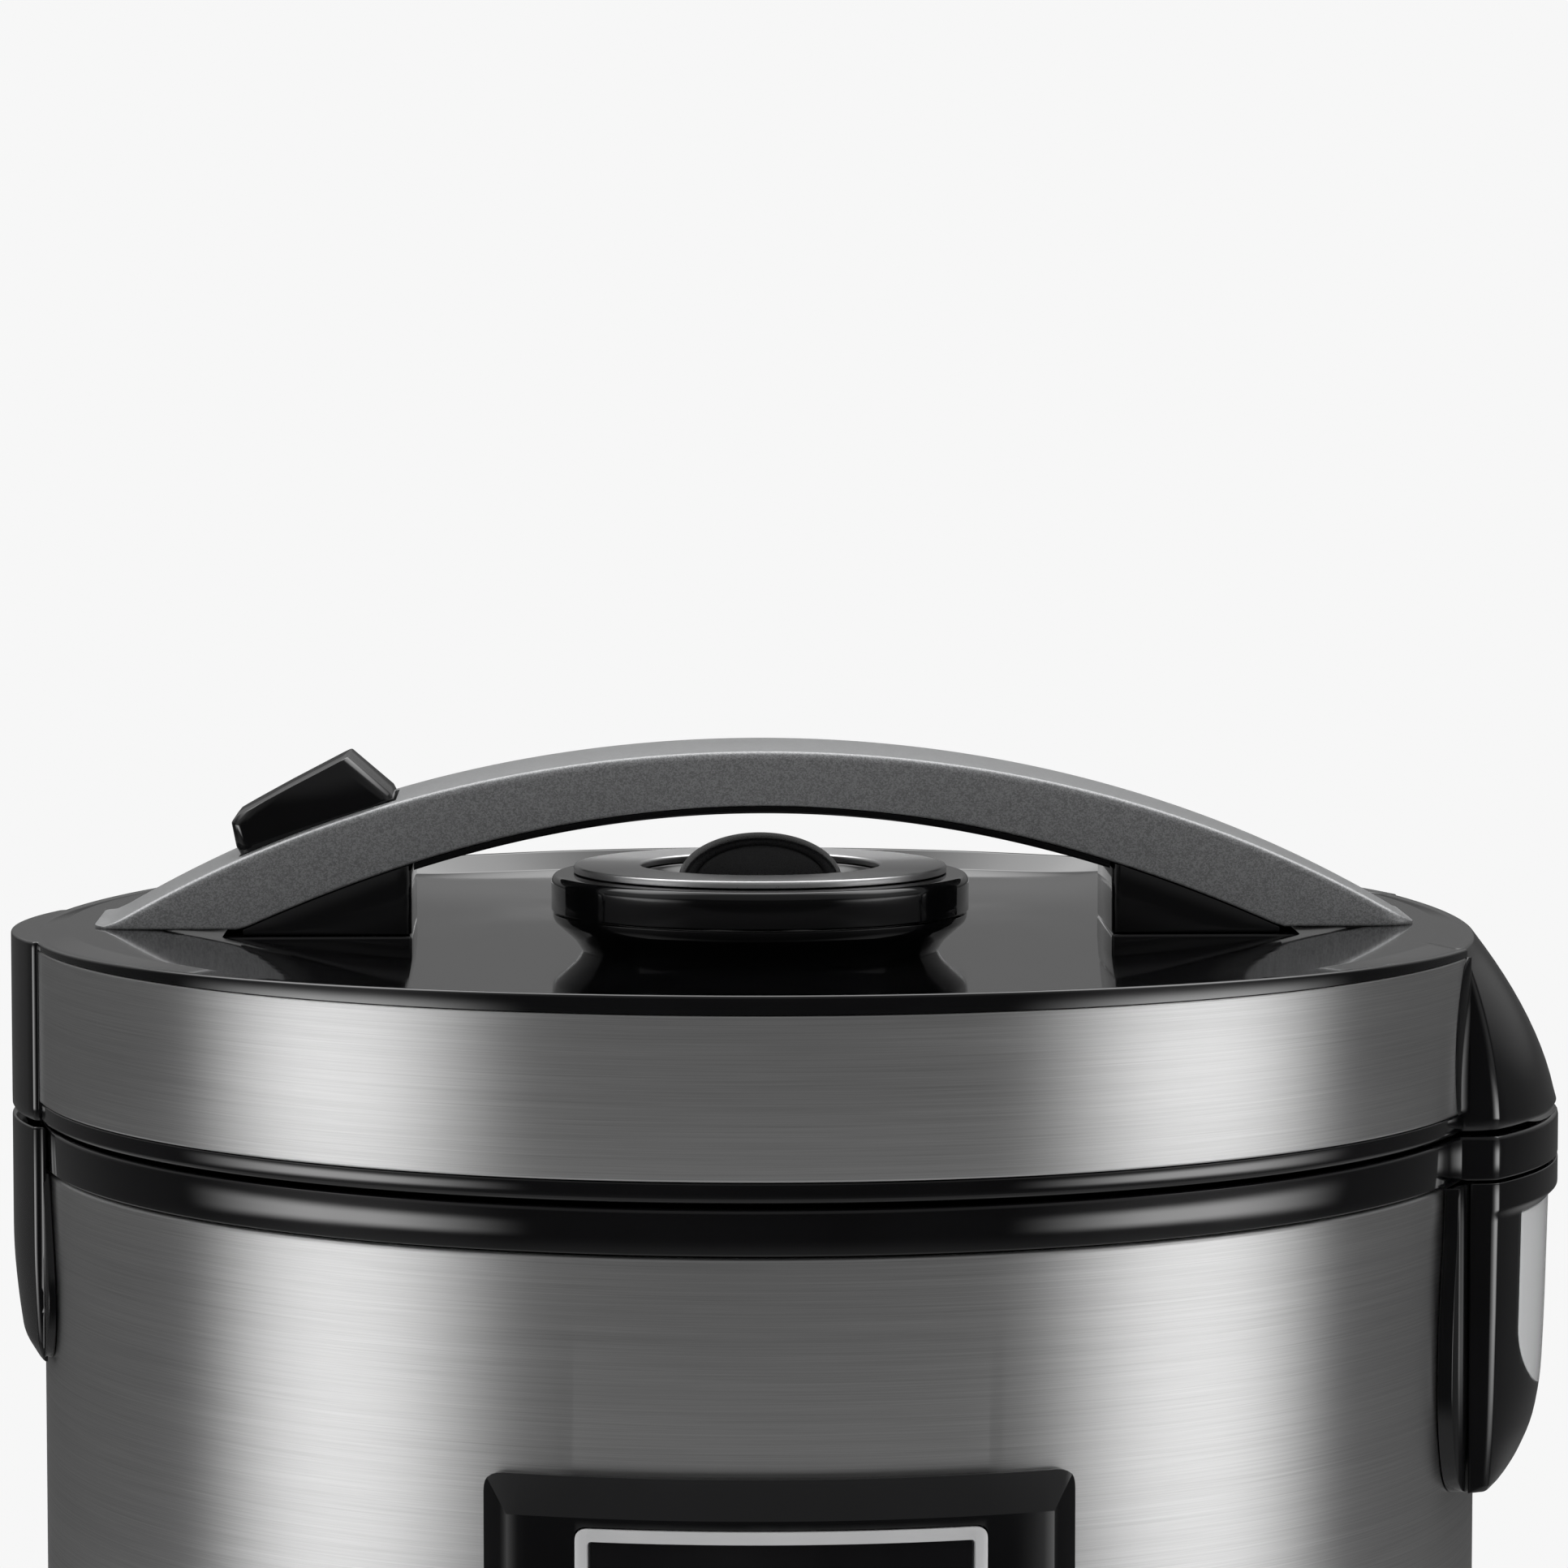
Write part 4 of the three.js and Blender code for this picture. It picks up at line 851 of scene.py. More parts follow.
def condensate_cup():
    """The clear cup: the housing's own shape inside the cup's outline, then hollowed."""
    wall = CUP["wall"]
    cavity = raw("cavity", housing_shape(-wall, CUP["inner"] + wall, CUP["top"] + 3))
    lower = cup_outline(wall, CUP["low"] + wall, CUP["top"] + 4)
    cut(cavity, [prism(lower, "x", *HINGE_SIDE)], "INTERSECT")
    hollow = ([((v.co.x - AXIS_X) / MM, (v.co.y - AXIS_Y) / MM, v.co.z / MM)
               for v in cavity.data.vertices], [tuple(f.vertices) for f in cavity.data.polygons])
    bpy.data.objects.remove(cavity)
    outside = housing_shape(0, CUP["inner"], CUP["top"])
    carve("condensate_cup", outside, "condensate_cup", "clear_plastic",
          [hollow, block(130, 139.2, -9.5, 9.5, 170.5, 190)],
          trim=prism(cup_outline(0, CUP["low"], CUP["top"]), "x", *HINGE_SIDE), soft=0.3, crease=45)


def box_mm(name):
    """A CAD node's lowest and highest corners in millimetres about the drum's axis."""
    return [[(corner[k] - (AXIS_X, AXIS_Y, 0)[k]) / MM for k in range(3)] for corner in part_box(name)]


def base_parts():
    make("base_ring", lathe([
        (132.2, 30, 0.3), (130.8, 30, 0.3), (130.8, 14, 0.3), (112, 14, 0.3), (112, 11, 0.3),
        (126.2, 11, 0.2), (126.2, 7.8, 0.3), (131.4, 7.8, 2.4), (134.35, 12, 2.4),
        (134.35, DRUM_LOW - GAP, 0.3), (132.2, DRUM_LOW - GAP, 0.1)]), "base", "gloss_black")
    slots = [block(i * 9 - 2, i * 9 + 2, -24, 24, 0, 20) for i in range(-5, 6) if i]
    carve("base_plate", full_turn([(125.7, 8.2), (125.7, 10.7), (2, 10.7), (2, 8.2)], 128), "base",
          "matte_black", slots, soft=0.4)
    points, faces = lathe([(0.01, 0, 0), (8.9, 0, 1.3), (8.9, 3, 0.5), (8.0, 3.6, 0.4),
                           (8.0, 7.9, 0.3), (0.01, 7.9, 0)], 48)
    for i in range(4):
        low, high = box_mm(f"foot_{i + 1}")
        x, y = (low[0] + high[0]) / 2, (low[1] + high[1]) / 2
        make(f"foot_{i + 1}", ([(px + x, py + y, pz) for px, py, pz in points], faces), "base",
             "foot_rubber")


def power_inlet():
    half, low, top, face, back = (INLET[k] for k in ("half", "low", "top", "face", "back"))
    shell = raw("power_inlet_look", prism(rounded([
        (-half - 3, low - 3.5, 3), (half + 3, low - 3.5, 3), (half + 3, top + 3.5, 3),
        (-half - 3, top + 3.5, 3)]), "x", face - 2, face))
    cut(shell, [block(back, face - 1, -half, half, low, top)], "UNION")
    recess = rounded([(-half + 2.5, low + 3, 1.5), (half - 2.5, low + 3, 1.5), (half - 2.5, top - 7, 1),
                      (half - 7, top - 3, 1), (-half + 7, top - 3, 1), (-half + 2.5, top - 7, 1)])
    cut(shell, [prism(recess, "x", back + 3, face + 5)])
    round_edges(shell, 0.5)
    finish(shell, "base", "matte_black")
    for i in range(3):
        (x0, y0, z0), (x1, y1, z1) = box_mm(f"inlet_pin_{i + 1}")
        make(f"inlet_pin_{i + 1}", block(x0, x1, y0, y1, z0, z1), "base", "brass", bevel=0.5)


# ------------------------------------------------------------------ control panel
def panel_angle(s):
    return FRONT + s / PANEL["base"]


def panel_bezel():
    half, low, top = PANEL["half"], PANEL["low"], PANEL["top"]
    base, face, bevel, rise = (PANEL[k] for k in ("base", "face", "bevel", "rise"))
    stops = [-half, *span(-half + bevel, half - bevel, 48), half]

    def outline(angle):
        k = clamp((half - abs(angle - FRONT) * base) / bevel, 0, 1)
        r = base + (face - base) * k
        return [(DRUM_R + 0.2, low), (base, low), (r, low + rise * k), (r, top - rise * k), (base, top),
                (DRUM_R + 0.2, top)]

    window = panel_block(WINDOW["half"] + GAP, 137, 145, WINDOW["low"] - GAP, WINDOW["top"] + GAP, 2.2)
    key_gap = 0.35
    key_holes = [panel_block(wide + key_gap, 130, 145, z - tall - key_gap, z + tall + key_gap,
                             tall - 0.6, s) for _, s, z, wide, tall in KEYS]
    carve("panel_bezel", sweep([panel_angle(s) for s in stops], outline), "base", "gloss_black",
          [window, panel_block(29, 130, 145, 101, 137, 1), *key_holes],
          trim=panel_block(half, DRUM_R, face + 3, low, top, 3.4), soft=0.9, crease=14, segments=4)


def panel_block(half, r0, r1, low, top, corner, s=0.0):
    """A block bent round the drum, its corners rounded in the panel's own plane."""
    flat = rounded([(-half, low, corner), (half, low, corner), (half, top, corner),
                    (-half, top, corner)], 6)
    dense = []
    for (u, v), (next_u, next_v) in zip(flat, flat[1:] + flat[:1]):
        parts = max(1, int(abs(next_u - u) / 3))
        dense += [(u + (next_u - u) * k / parts, v + (next_v - v) * k / parts) for k in range(parts)]
    rows = [[(r * math.cos(panel_angle(s + u)), r * math.sin(panel_angle(s + u)), v) for u, v in dense]
            for r in (r0, r1)]
    points, faces = loft_mesh(rows, False, cap=False)
    return points, faces + fill_bent(dense, 0, True) + fill_bent(dense, len(dense), False)


def fill_bent(outline, start, flip):
    """Fills a bent end with strips between its lower and upper halves."""
    order = sorted(range(len(outline)), key=lambda i: (outline[i][0], outline[i][1]))
    middle = (min(v for _, v in outline) + max(v for _, v in outline)) / 2
    low = [i for i in order if outline[i][1] <= middle]
    high = [i for i in order if outline[i][1] > middle]
    faces = []
    i = j = 0
    while i < len(low) - 1 or j < len(high) - 1:
        on_low = i < len(low) - 1
        if j == len(high) - 1 or (on_low and outline[low[i + 1]][0] <= outline[high[j + 1]][0]):
            face = (low[i], low[i + 1], high[j])
            i += 1
        else:
            face = (low[i], high[j + 1], high[j])
            j += 1
        faces.append(tuple(start + k for k in (reversed(face) if flip else face)))
    return faces


def panel_window():
    """The display's frame and glass, and the keys below it."""
    half, low, top, bar = (WINDOW[k] for k in ("half", "low", "top", "bar"))
    carve("panel_frame", panel_block(half, 137.3, 139.8, low, top, 2), "base", "bright_trim",
          [panel_block(half - bar, 130, 145, low + bar, top - bar, 0.8)], soft=0.35,
          paint="frame_silver")
    gap = bar + 0.15
    make("panel_glass", panel_block(half - gap, 137.3, 139.1, low + gap, top - gap, 0.7), "base",
         "display_glass", bevel=0.25)
    for name, s, z, wide, tall in KEYS:
        make(name, panel_block(wide, KEY_BACK, KEY_FACE - 0.05, z - tall, z + tall, tall - 0.9, s),
             name, "key_black", bevel=0.8, segments=4)


# ------------------------------------------------------------------ inside the body
def inner_pot():
    wall, r, low, soft = 1.6, 104.0, 62.0, 14.0

    def bottom_corner(radius):
        return [(r - soft + radius * math.sin(a), low + soft - radius * math.cos(a))
                for a in span(0, math.pi / 2, 10)]

    rim = [(r, 193.8), (r + 0.6, 194.5), (111.2, 194.5), (111.6, 194.9), (111.5, 195.6), (110.8, 196),
           (r, 196), (r - wall, 195.2)]
    make("inner_pot", full_turn([
        (0.01, low), *bottom_corner(soft), *rim, *reversed(bottom_corner(soft - wall)),
        (0.01, low + wall)], 160), "base", "pot_coating")


# ------------------------------------------------------------------ lid
def top_cover():
    """The lid's deck and rim, and the tabs that come down from it over the latch and the hinge."""
    recess = BAND_R - 1.3
    radial = span(0.2, 124, 34)

    def outline(angle):
        c, s = math.cos(angle), math.sin(angle)
        near_latch = in_tab(math.pi - abs(angle), LATCH_TAB, RIM_R)
        near_hinge = in_tab(angle, HINGE_TAB, RIM_R)
        tabbed = near_latch or near_hinge
        latch_reach = max(RIM_R, tab_reach(math.pi - abs(angle), LATCH_TAB))
        low = LID_LOW if tabbed else BAND_LOW + GAP

        def outer_at(z):
            if near_hinge:
                return tab_reach(angle, hinge_cover_at(min(z, RIM_TOP - 2)))
            return latch_reach if near_latch else recess

        rim = outer_at(RIM_TOP) if tabbed else RIM_R
        ledge = min(rim, RIM_R)
        rim_top = rim_height(ledge * c)

        def deck_at(r):
            return min(deck_height(r * c, r * s), rim_top + 0.2 * (RIM_R - r))

        deck = [(r, deck_at(r)) for r in radial]
        foot = max(rim, outer_at(BAND_TOP)) if tabbed else rim
        inner_rim = rounded([
            (ledge - 8.5, deck_at(ledge - 8.5), 0), (ledge - 6.6, deck_at(ledge - 6.6), 0.4),
            (ledge - 1.6, rim_top - 0.1, 0.3), (ledge - 1.1, rim_top, 0.3), (rim, rim_top, 1.0),
            (foot, BAND_TOP, 0)], 5)[6:]
        heights = span(BAND_TOP, low, 12)
        wall = [(outer_at(z), z) for z in heights]
        turned_in = ((0.02, 0.9), (0.35, 0.25), (1.0, 0)) if tabbed else ((0, 0.4), (0, 0.2), (0, 0))
        wall[-1:] = [(outer_at(low) - inset, low + rise) for inset, rise in turned_in]
        thick = 1.5 if near_hinge else WALL
        inside = [(outer_at(z) - thick, z) for z in reversed(span(222, low, 4))]
        under = [(r, deck_height(r * c, r * s) - WALL + 0.4) for r in (126, 100, 60, 14)]
        return [*deck, *inner_rim, *wall, *inside, *under]

    steam_hole = full_turn([(0.01, 200), (13.2, 200), (13.2, 240), (0.01, 240)], 64)
    carve("lid_top_cover", sweep(ring_angles(300), outline, True), "lid", "gloss_black",
          [steam_hole, block(-92.5, -75.5, -3.9, 3.9, 200, 240)])
    for side, label in SIDES:
        stops = span(SUPPORT_IN, SUPPORT_OUT + 3, 14)
        under = [(side * x, deck_height(x, 0) - 0.6) for x in stops]
        over = [(side * x, max(SUPPORT_SEAM, deck_height(x, 0) - 0.5)) for x in reversed(stops)]
        make(f"support_foot_{label}", prism(under + over, "y", -SUPPORT_HALF, SUPPORT_HALF), "lid",
             "gloss_black", (), bevel=1.6, crease=60, segments=4)
    for side, label in SIDES:
        low, high = sorted((side * 6.6, side * 12.2))
        make(f"hinge_lug_{label}", prism(hinge_lug(), "y", low, high), "lid", "gloss_black", (),
             bevel=0.4)


def hinge_lug():
    """The lid's hinge lugs, seen from the side."""
    return [(133, 227), *arc(HINGE_X, HINGE_Z, 2.8, math.pi, FULL_TURN, 12), (144, 211), (136, 227)]


def lid_bands():
    latch = math.asin((LATCH_TAB["half"] + GAP) / BAND_R)
    hinge = math.asin((HINGE_TAB["half"] + 0.6) / BAND_R)
    low, top = BAND_LOW + 0.15, BAND_TOP - 0.1
    outline = rounded([(BAND_R - 1, low, 0), (BAND_R, low, 0.45), (BAND_R, top, 0.45),
                       (BAND_R - 1, top, 0)])
    for name, sign in (("lid_band_front", -1), ("lid_band_rear", 1)):
        angles = [sign * a for a in span(hinge, math.pi - latch, 160)]
        make(name, sweep(angles, lambda a: outline), "lid", "brushed_steel")


def hinge_wings():
    """Thin lens-shaped ends of the hinge cover that lie over the ends of the lid's bands."""
    start = math.asin((HINGE_TAB["half"] - 0.5) / BAND_R)
    for name, sign in (("hinge_wing_front", -1), ("hinge_wing_rear", 1)):
        rows = []
        for t in span(0.0, 1.0, 24):
            z = BAND_LOW + 0.2 + (BAND_TOP - 0.3 - BAND_LOW) * t
            wide = 1.0 + 6.6 * math.sin(math.pi * (0.25 + 0.75 * t)) ** 0.7
            outer = [(sign * (start + wide * k / BAND_R), BAND_R + 0.12 + 0.6 * (1 - k ** 2))
                     for k in span(0.0, 1.0, 8)]
            ends = [(outer[-1][0], BAND_R - 0.4), (outer[0][0], BAND_R - 0.4)]
            rows.append([(r * math.cos(a), r * math.sin(a), z) for a, r in outer + ends])
        make(name, loft_mesh(rows, False), "lid", "gloss_black", (), bevel=0.12, crease=60)


def lower_ring():
    outline = rounded([
        (118, LID_LOW, 0.4), (135.65, LID_LOW, 0.9), (135.65, BAND_LOW, 0.35), (131.8, BAND_LOW, 0.2),
        (131.8, 206, 0.3), (129.8, 206, 0.3), (129.8, 201.6, 0.3), (118, 201.6, 0.4)])
    latch, hinge = (tab["half"] + GAP for tab in (LATCH_TAB, HINGE_TAB))
    carve("lid_lower_ring", full_turn(outline), "lid", "gloss_black", [
        block(-160, -127, -latch, latch, 190, 210), block(129, 160, -hinge, hinge, 190, 210)])


def lid_inside():
    make("lid_inner_liner", lathe([
        (14, 203.4, 0.3), (110, 203.4, 0.5), (112, 199.6, 0.4), (117.6, 199.6, 0.4),
        (117.6, 201.4, 0.4), (113.2, 201.4, 0.4), (111.2, 205.2, 0.4), (14, 205.2, 0.3)], 160),
        "lid", "matte_black")
    plate = lathe([
        (9, 198.8, 0.2), (38, 198.5, 0.1), (42, 199, 1), (46, 198.3, 1), (60, 198, 2), (96, 197.5, 1),
        (99, 197.2, 1), (104.6, 197.2, 0.4), (104.6, 198.4, 0.4), (99, 198.5, 1), (60, 199.2, 2),
        (46, 199.5, 1), (42, 200.1, 1), (38, 199.7, 0.1), (9, 200, 0.2)], 160, 3)
    points, faces = full_turn([(0.01, 190), (1.6, 190), (1.6, 210), (0.01, 210)], 16)
    holes = [([(x + u, y + v, z) for x, y, z in points], faces) for u, v in circle(0, 0, 24, 10)]
    carve("inner_lid_plate", plate, "lid", "aluminium", holes)
    make("lid_gasket", lathe([
        (105, 196.5, 0.4), (107.4, 197.4, 0.6), (108.6, 197.2, 0.6), (111.4, 196.4, 0.4),
        (111.4, 199.2, 0.4), (105, 199.2, 0.4)], 160), "lid", "silicone")
    make("inner_lid_grommet", lathe([
        (4, 197, 0.8), (8.6, 197, 1), (8.6, 202.6, 0.6), (7.4, 203.6, 0.4), (4, 203.6, 0.5)], 64),
        "lid", "silicone")


def arch_row(x, half, low, top, soft_top, soft_low):
    """A section across the arch, with soft corners."""
    outline = rounded([(-half, low, soft_low), (-half, top, soft_top), (half, top, soft_top),
                       (half, low, soft_low)], 5)
    return [(x, y, z) for y, z in outline]


def handle():
    """The carrying arch: its silver shell, its dark lining, and the supports under its ends."""
    corner = 6.5
    stops = sorted([*span(-HANDLE_END[-1], HANDLE_END[1], 120),
                    *[s * (HANDLE_END[s] - d) for s in (-1, 1) for d in (0.15, 0.5, 1.1)]])

    def half_width(x):
        past = max(0.0, abs(x) - (HANDLE_END[1 if x > 0 else -1] - corner)) / corner
        return HANDLE_HALF - corner * (1 - math.sqrt(max(0.0, 1 - past * past))) * 0.9

    rows = []
    for x in stops:
        low = arch_low(x)
        top = max(arch_top(x), HANDLE_SEAT + 0.6)
        rows.append(arch_row(x, half_width(x), low, top, 1.5, 0.6))
    hollow = loft_mesh([arch_row(x, HANDLE_HALF - 2, arch_low(x) - 1,
                                 max(arch_low(x) - 0.4, arch_top(x) - 2.2), 0.3, 0.1)
                        for x in span(-112, 112, 60)], False)
    carve("handle_shell", loft_mesh(rows, False), "lid", "silver_paint",
          [hollow, button_shape(GAP, 30)])

    def strip(half, down, up, soft):
        rows = [arch_row(x, half, arch_low(x) - down, arch_low(x) + up, 0.1, soft)
                for x in span(-SUPPORT_IN + 0.4, SUPPORT_IN - 0.4, 60)]
        return loft_mesh(rows, False)

    lining = joined(strip(SUPPORT_HALF, 1.4, -0.15, 0.5), strip(HANDLE_HALF - 2.5, 0.8, 1.2, 0))
    make("handle_liner", lining, "lid", "gloss_black")
    for side, label in SIDES:
        stops = span(SUPPORT_IN, SUPPORT_OUT - 1, 20)
        over = [(side * x, arch_low(x) - 0.15) for x in reversed(stops)]
        foot = [(side * x, SUPPORT_SEAM + 0.25) for x in (stops[0], stops[-1])]
        wedge = prism(foot + over, "y", -SUPPORT_HALF, SUPPORT_HALF)
        made = raw(f"handle_support_{label}_look", wedge)
        if side < 0:
            cut(made, [block(-94, -77.5, -3.9, 3.9, 220, 250)])
        round_vertical(made, side * SUPPORT_IN, 5.2)
        finish(made, "lid", "gloss_black")


def round_vertical(obj, x, radius):
    """Rounds the upright corners of the support's inner face, then breaks its other edges."""
    line = to_row((x, 0, 0)).x
    with editing(obj.data) as work:
        upright = [e for e in work.edges if all(abs(v.co.x - line) < 0.01 * MM for v in e.verts)
                   and abs(e.verts[0].co.y - e.verts[1].co.y) < 0.01 * MM]
        bevel_edges(work, upright, radius, 6)
    round_edges(obj, 0.25, crease=50)


def on_button(along, down):
    """(x, z) of a point so far along the button's top face and so far down into the arch."""
    c, s = math.cos(BUTTON_TILT), math.sin(BUTTON_TILT)
    return (BUTTON_CORNER[0] + along * c + down * s, BUTTON_CORNER[1] + along * s - down * c)


def button_shape(grow, depth):
    """The release button's body, square to the arch's slope, both ends flaring as they go down."""
    outline = [on_button(-grow, -grow), on_button(24.6 + grow, -grow), on_button(28.4 + grow, 9.7),
               on_button(28.4 + grow, depth), on_button(-1.6 - grow, depth), on_button(-1.6 - grow, 5.2)]
    return prism(outline, "y", -BUTTON_HALF - grow, BUTTON_HALF + grow)


def release_button():
    """A crisp wedge with its upright corners rounded, and a soft chamfer at its left end."""
    left, right = (-0.3, 0.8), (24.6, 0.05)
    top = [on_button(left[0] + 1.4, 0.2), on_button(12, 0.02), on_button(*right)]
    outline = [on_button(*left), *top, on_button(28.4, 9.6), on_button(28.4, 11), on_button(-1.6, 11),
               on_button(-1.6, 5.2)]
    button = raw("release_button_look", prism(outline, "y", -BUTTON_HALF, BUTTON_HALF))
    round_across(button, 2.4)
    round_edges(button, 0.25, crease=30)
    finish(button, "release_button", "gloss_black")
    leg = [on_button(*place) for place in ((0.5, 8), (6.5, 8), (6.5, 33.5), (0.5, 31.5))]
    make("release_leg", prism(leg, "y", -3, 3), "release_button", "gloss_black", (), bevel=0.4)


def round_across(obj, radius):
    """Rounds the steep corners at both ends of a piece that was pushed along Y."""
    with editing(obj.data) as work:
        steep = []
        for edge in work.edges:
            run = edge.verts[1].co - edge.verts[0].co
            if abs(run.y) < 0.01 * MM and abs(run.z) > abs(run.x) * 0.8:
                steep.append(edge)
        bevel_edges(work, steep, radius, 5)


def vent():
    make("vent_base", lathe([
        (10, 200.5, 0.3), (12.8, 200.5, 0.3), (12.8, 226.8, 0.1), (33.2, DECK_Z - 0.1, 0.2),
        (34.6, 229.6, 2.0), (38.7, 233.2, 1.6), (39.0, 234.7, 0.15), (36.6, 234.7, 0.3),
        (36.4, 233.4, 0.2), (32, 229.8, 0.3), (10, 229.8, 0.3)], 160), "lid", "gloss_black")
    bowl = [(21.7, 241.6, 0.6), (18.5, 238.4, 3.0), (11, 237, 3.0), (0.01, 237.6, 0)]
    make("vent_cap", lathe([
        (0.01, 235.1, 0), (38.9, 235.1, 0.12), (39.2, 235.3, 0.12), (39.2, 240.9, 0.9),
        (38.5, 241.9, 0.5), (35.4, 242.1, 0.2), (22, 242.1, 0.3), *bowl], 160, 6),
        "vent", "gloss_black")
    finger_bar()
    make("vent_trim_ring", lathe([
        (22.4, 242.3, 0.15), (35, 242.3, 0.15), (35, 243.65, 0.7), (22.4, 243.65, 0.7)], 160, 5),
        "vent", "bright_trim")


def finger_bar():
    """A half-round grip across the vent's bowl: an arched rim with a shallow domed face inside it."""
    base, flatness = 240.6, 0.57
    rim, face = [], []
    for a in span(0, math.pi, 48):
        c, s = math.cos(a), math.sin(a)
        section = rounded([(12.2, -6.2, 0.8), (14.4, -6.9, 1.5), (15.2, -3.6, 2.0), (15.4, 0, 1.5),
                           (15.2, 3.6, 2.0), (14.4, 6.9, 1.5), (12.2, 6.2, 0.8)], 3)
        rim.append([(r * c, y, base + flatness * r * s) for r, y in section])
    for y, r in ((-5.9, 11.0), (-5.5, 12.4), (-3.0, 12.7), (3.0, 12.7), (5.5, 12.4), (5.9, 11.0)):
        crest = [(u, y, base + flatness * v) for u, v in arc(0, 0, r, 0, math.pi, 24)]
        face.append(crest + [(-r, y, 236.8), (r, y, 236.8)])
    for name, rows in (("finger_rim", rim), ("finger_face", face)):
        finish(raw(name, loft_mesh(rows, False)), "vent", "gloss_black", (), "grip_black")


def coil(radius, wire_radius, turns, height):
    """A coil spring that stands on the origin."""
    rows = []
    steps_per_turn = 24
    steps = turns * steps_per_turn
    for i in range(steps + 1):
        angle = FULL_TURN * i / steps_per_turn
        c, s = math.cos(angle), math.sin(angle)
        z = wire_radius + (height - 2 * wire_radius) * i / steps
        rows.append([((radius + out) * c, (radius + out) * s, z + up)
                     for out, up in circle(0, 0, wire_radius, 10)])
    return loft_mesh(rows, False)


def bar_y(r, x, z, y0, y1):
    """A round bar along Y with chamfered ends."""
    soft = 0.3
    ends = ((y0, r - soft), (y0 + soft, r), (y1 - soft, r), (y1, r - soft))
    return loft_mesh([[(u, y, v) for u, v in circle(x, z, radius, 24)] for y, radius in ends], False)


def small_parts():
    """The two pins, the hinge's spring and the latch's hook."""
    make("hinge_pin", bar_y(PIN_R, HINGE_X, HINGE_Z, -18.6, 18.6), "base", "spring_steel")
    points, faces = coil(2.6, 0.5, 5, 11.4)
    lying = [(HINGE_X + x, z - 5.7, HINGE_Z - y) for x, y, z in points]
    make("hinge_spring", (lying, faces), "base", "spring_steel")
    make("latch_pin", bar_y(PIN_R, LATCH_X, LATCH_Z, -11, 11), "lid", "spring_steel")
    hook = [(-127.6, 219.5), (-126, 222), (-123.4, 222.6), (-84.5, 222.6), (-83, 221.6),
            (-83, 220.2), (-119.8, 219.2), (-120.6, 216.6), (-123, 215.2), (-125.8, 214),
            (-128.2, 203), (-128.4, 194.6), (-127.9, 193.6), (-127.9, 191.4), (-131, 190.8),
            (-131, 204), (-128.8, 215)]
    make("latch_hook", prism(hook, "y", -6, 6), "latch_hook", "matte_black", bevel=0.35)


def plain_insides():
    """Pieces that stay as they are in the frame, with their materials' own finish."""
    for entry in frame["record"]["subparts"]:
        obj = frame["nodes"][entry["node"]]
        obj.data.materials.clear()
        obj.data.materials.append(PAINT[entry["material_slot"]])


# ------------------------------------------------------------------ stage
def camera():
    """The photograph's own view, from the front and a little above."""
    data = bpy.data.cameras.new("camera")
    data.lens = LENS
    data.sensor_width = SENSOR
    obj = bpy.data.objects.new("camera", data)
    bpy.context.scene.collection.objects.link(obj)
    obj.location = to_row(CAMERA_PLACE)
    aim = to_row(CAMERA_AIM) - obj.location
    obj.rotation_euler = aim.to_track_quat("-Z", "Y").to_euler()
    data.clip_start = 0.05
    bpy.context.scene.camera = obj


def floor():
    """A pale floor that fades into the backdrop a little way out from the object."""
    bpy.ops.mesh.primitive_circle_add(vertices=128, radius=1.2, fill_type="NGON",
                                      location=(0, 0, -0.0002))
    obj = bpy.context.object
    obj.name = "floor"
    paint, tree, shader = start_paint("pale floor", (0.95, 0.95, 0.95), 0.9, specular=0.0)
    place = place_in_mm(tree)
    cloud = noise(tree, place, 0.004, detail=2.0)
    wire(tree, shader, tint(tree, cloud, (0.94, 0.94, 0.94), (0.955, 0.955, 0.955)))
    out = node(tree, "VectorMath", {0: place}, operation="LENGTH").outputs["Value"]
    fade = node(tree, "MapRange", {"Value": out, "From Min": FLOOR_SOLID, "From Max": FLOOR_GONE,
                                   "To Min": 1.0, "To Max": 0.0}, interpolation_type="SMOOTHSTEP")
    tree.links.new(fade.outputs[0], shader.inputs["Alpha"])
    obj.data.materials.append(paint)
    obj.visible_glossy = False


def ramp(tree, value, stops, low=0.0, strength=1.0):
    """Levels along a value that runs from low to 1, each a smooth step from the one before."""
    place = node(tree, "MapRange", {"Value": value, "From Min": low, "From Max": 1.0}).outputs[0]
    made = node(tree, "ValToRGB", {"Fac": place})
    colors = made.color_ramp
    colors.interpolation = "EASE"
    spots = [(position - low) / (1.0 - low) for position, _ in stops]
    colors.elements[0].position = spots[0]
    colors.elements[1].position = spots[-1]
    for position in spots[1:-1]:
        colors.elements.new(position)
    for element, (_, level) in zip(colors.elements, stops):
        element.color = (level, level, level, 1)
    return math_node(tree, "MULTIPLY", made.outputs[0], strength)


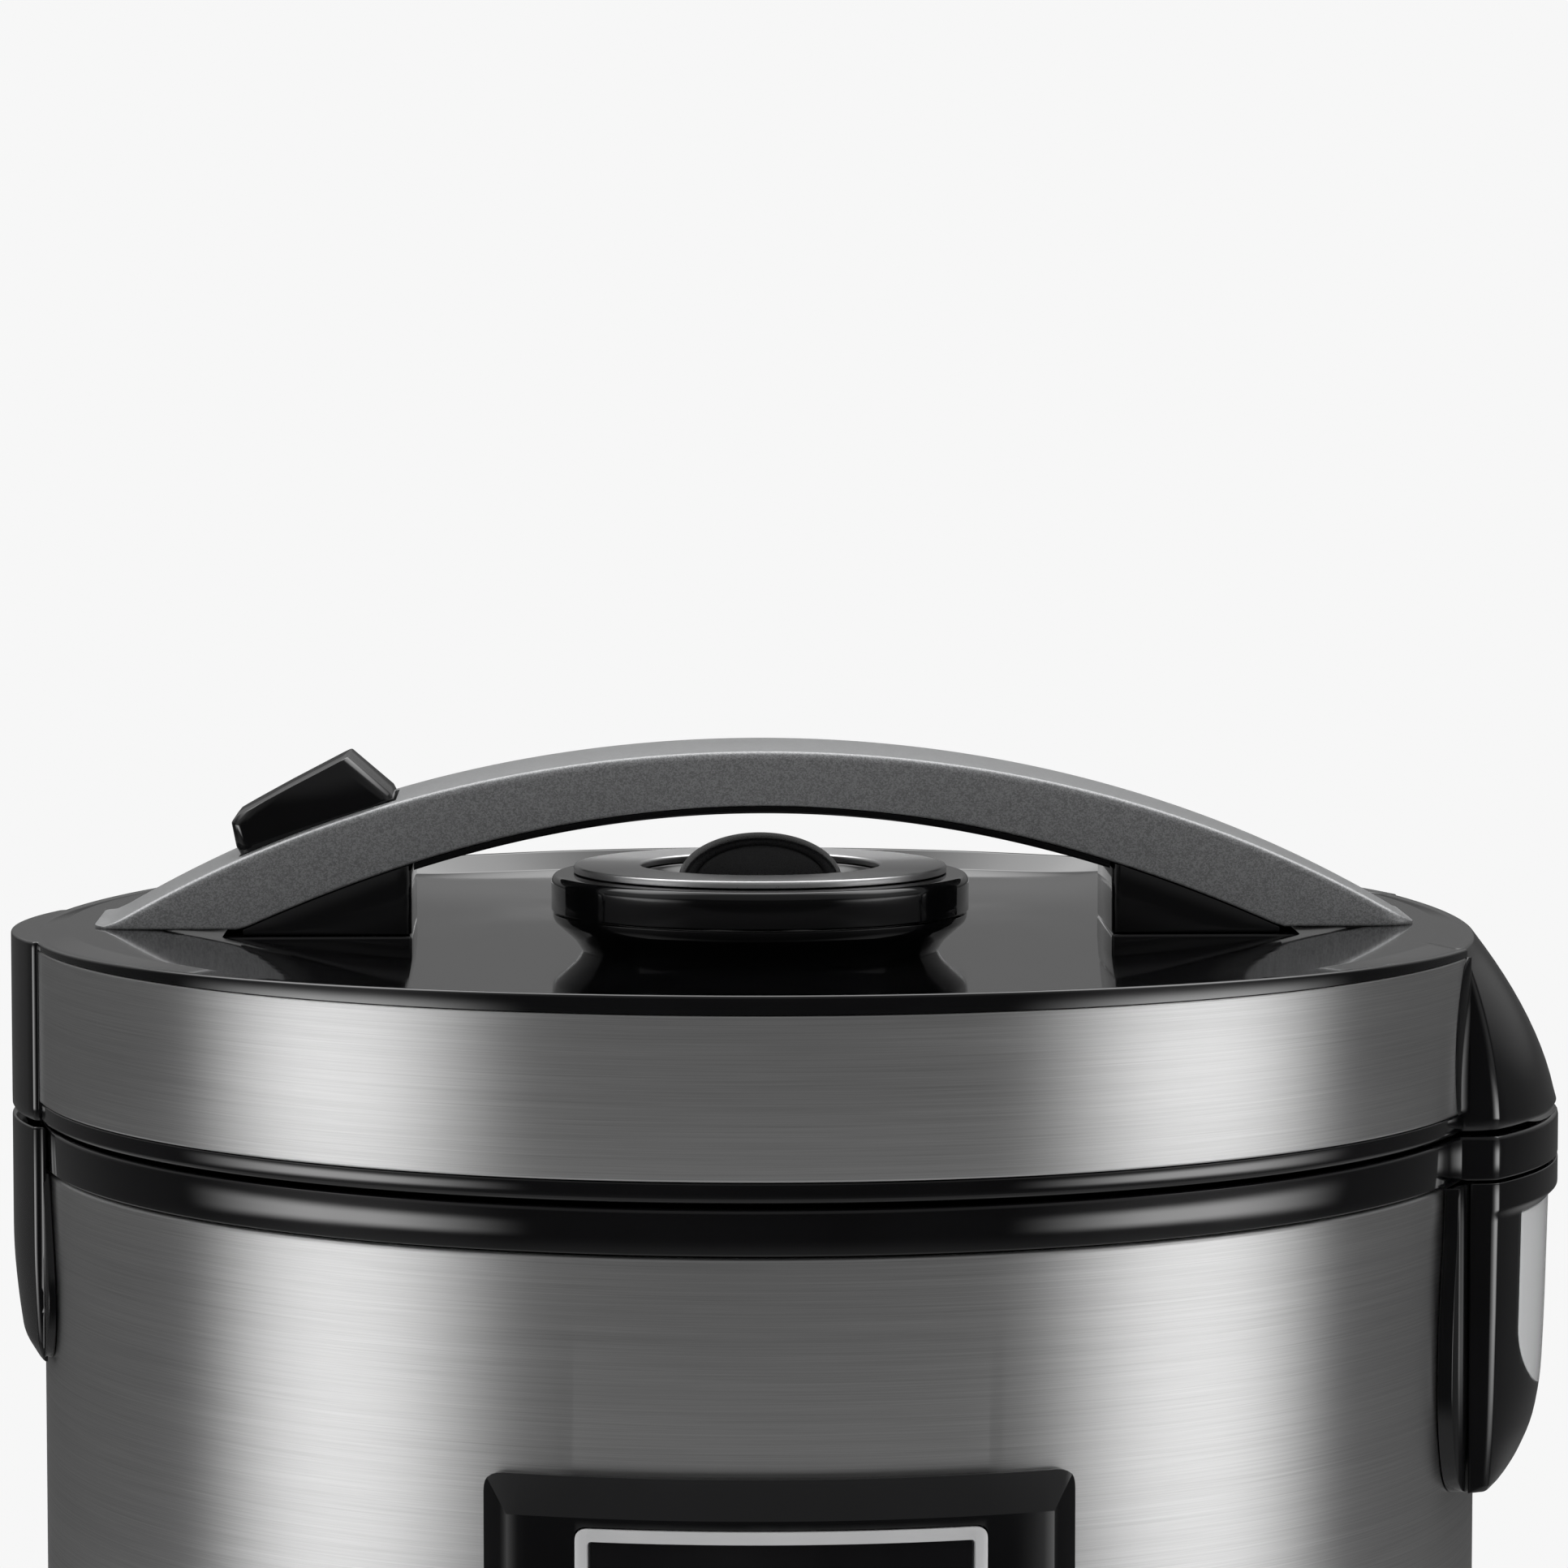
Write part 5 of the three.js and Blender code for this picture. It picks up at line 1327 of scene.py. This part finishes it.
def studio():
    """Soft studio light: pale to the eye and to dull surfaces, but shaped where a shiny one reflects it.

    Reflections see two tall lights at the sides, a dim room, a glow at the back and a ceiling.
    """
    world = bpy.data.worlds.new("studio")
    bpy.context.scene.world = world
    world.use_nodes = True
    world.cycles.sampling_method = "NONE"
    tree = world.node_tree
    tree.nodes.clear()
    split = node(tree, "SeparateXYZ", {0: node(tree, "TexCoord").outputs["Generated"]}).outputs
    depth, height = split[1], split[2]
    turned = math_node(tree, "ARCTAN2", split[0], math_node(tree, "MULTIPLY", depth, -1.0))
    side = math_node(tree, "DIVIDE", math_node(tree, "ABSOLUTE", turned), math.pi)

    def both(first, second):
        return math_node(tree, "MULTIPLY", first, second)

    lights = [
        both(ramp(tree, side, SIDE_LIGHTS, strength=SIDE_LEVEL),
             ramp(tree, height, SIDE_HEIGHTS, low=-1.0)),
        both(ramp(tree, side, BACK_GLOW), ramp(tree, height, BACK_GLOW_HEIGHTS, low=-1.0)),
        both(ramp(tree, height, CEILING_HEIGHTS, low=-1.0, strength=CEILING_LEVEL),
             ramp(tree, depth, CEILING_DEPTHS, low=-1.0)),
        ramp(tree, side, ALL_ROUND),
        ramp(tree, height, SKY, low=-1.0),
    ]
    total = lights[0]
    for light in lights[1:]:
        total = math_node(tree, "ADD", total, light)
    lit = node(tree, "Background", {"Color": total}).outputs[0]
    soft = node(tree, "Background", {"Color": ramp(tree, height, SOFT_LIGHT, low=-1.0)}).outputs[0]
    pale = node(tree, "Background", {"Color": (0.93, 0.93, 0.93, 1), "Strength": 1.0}).outputs[0]
    path = node(tree, "LightPath").outputs
    dull = node(tree, "MixShader", {0: path["Is Diffuse Ray"], 1: pale, 2: soft}).outputs[0]
    seen = node(tree, "MixShader", {0: path["Is Glossy Ray"], 1: dull, 2: lit}).outputs[0]
    tree.links.new(seen, node(tree, "OutputWorld").inputs["Surface"])


camera()
floor()
studio()
bpy.context.scene.view_settings.view_transform = "Standard"

plain_insides()
steel_body()
upper_ring()
latch_housing()
hinge_flange()
hinge_housing()
drain_spout()
condensate_cup()
base_parts()
power_inlet()
panel_bezel()
panel_window()
inner_pot()
top_cover()
lid_bands()
hinge_wings()
lower_ring()
lid_inside()
handle()
release_button()
vent()
small_parts()
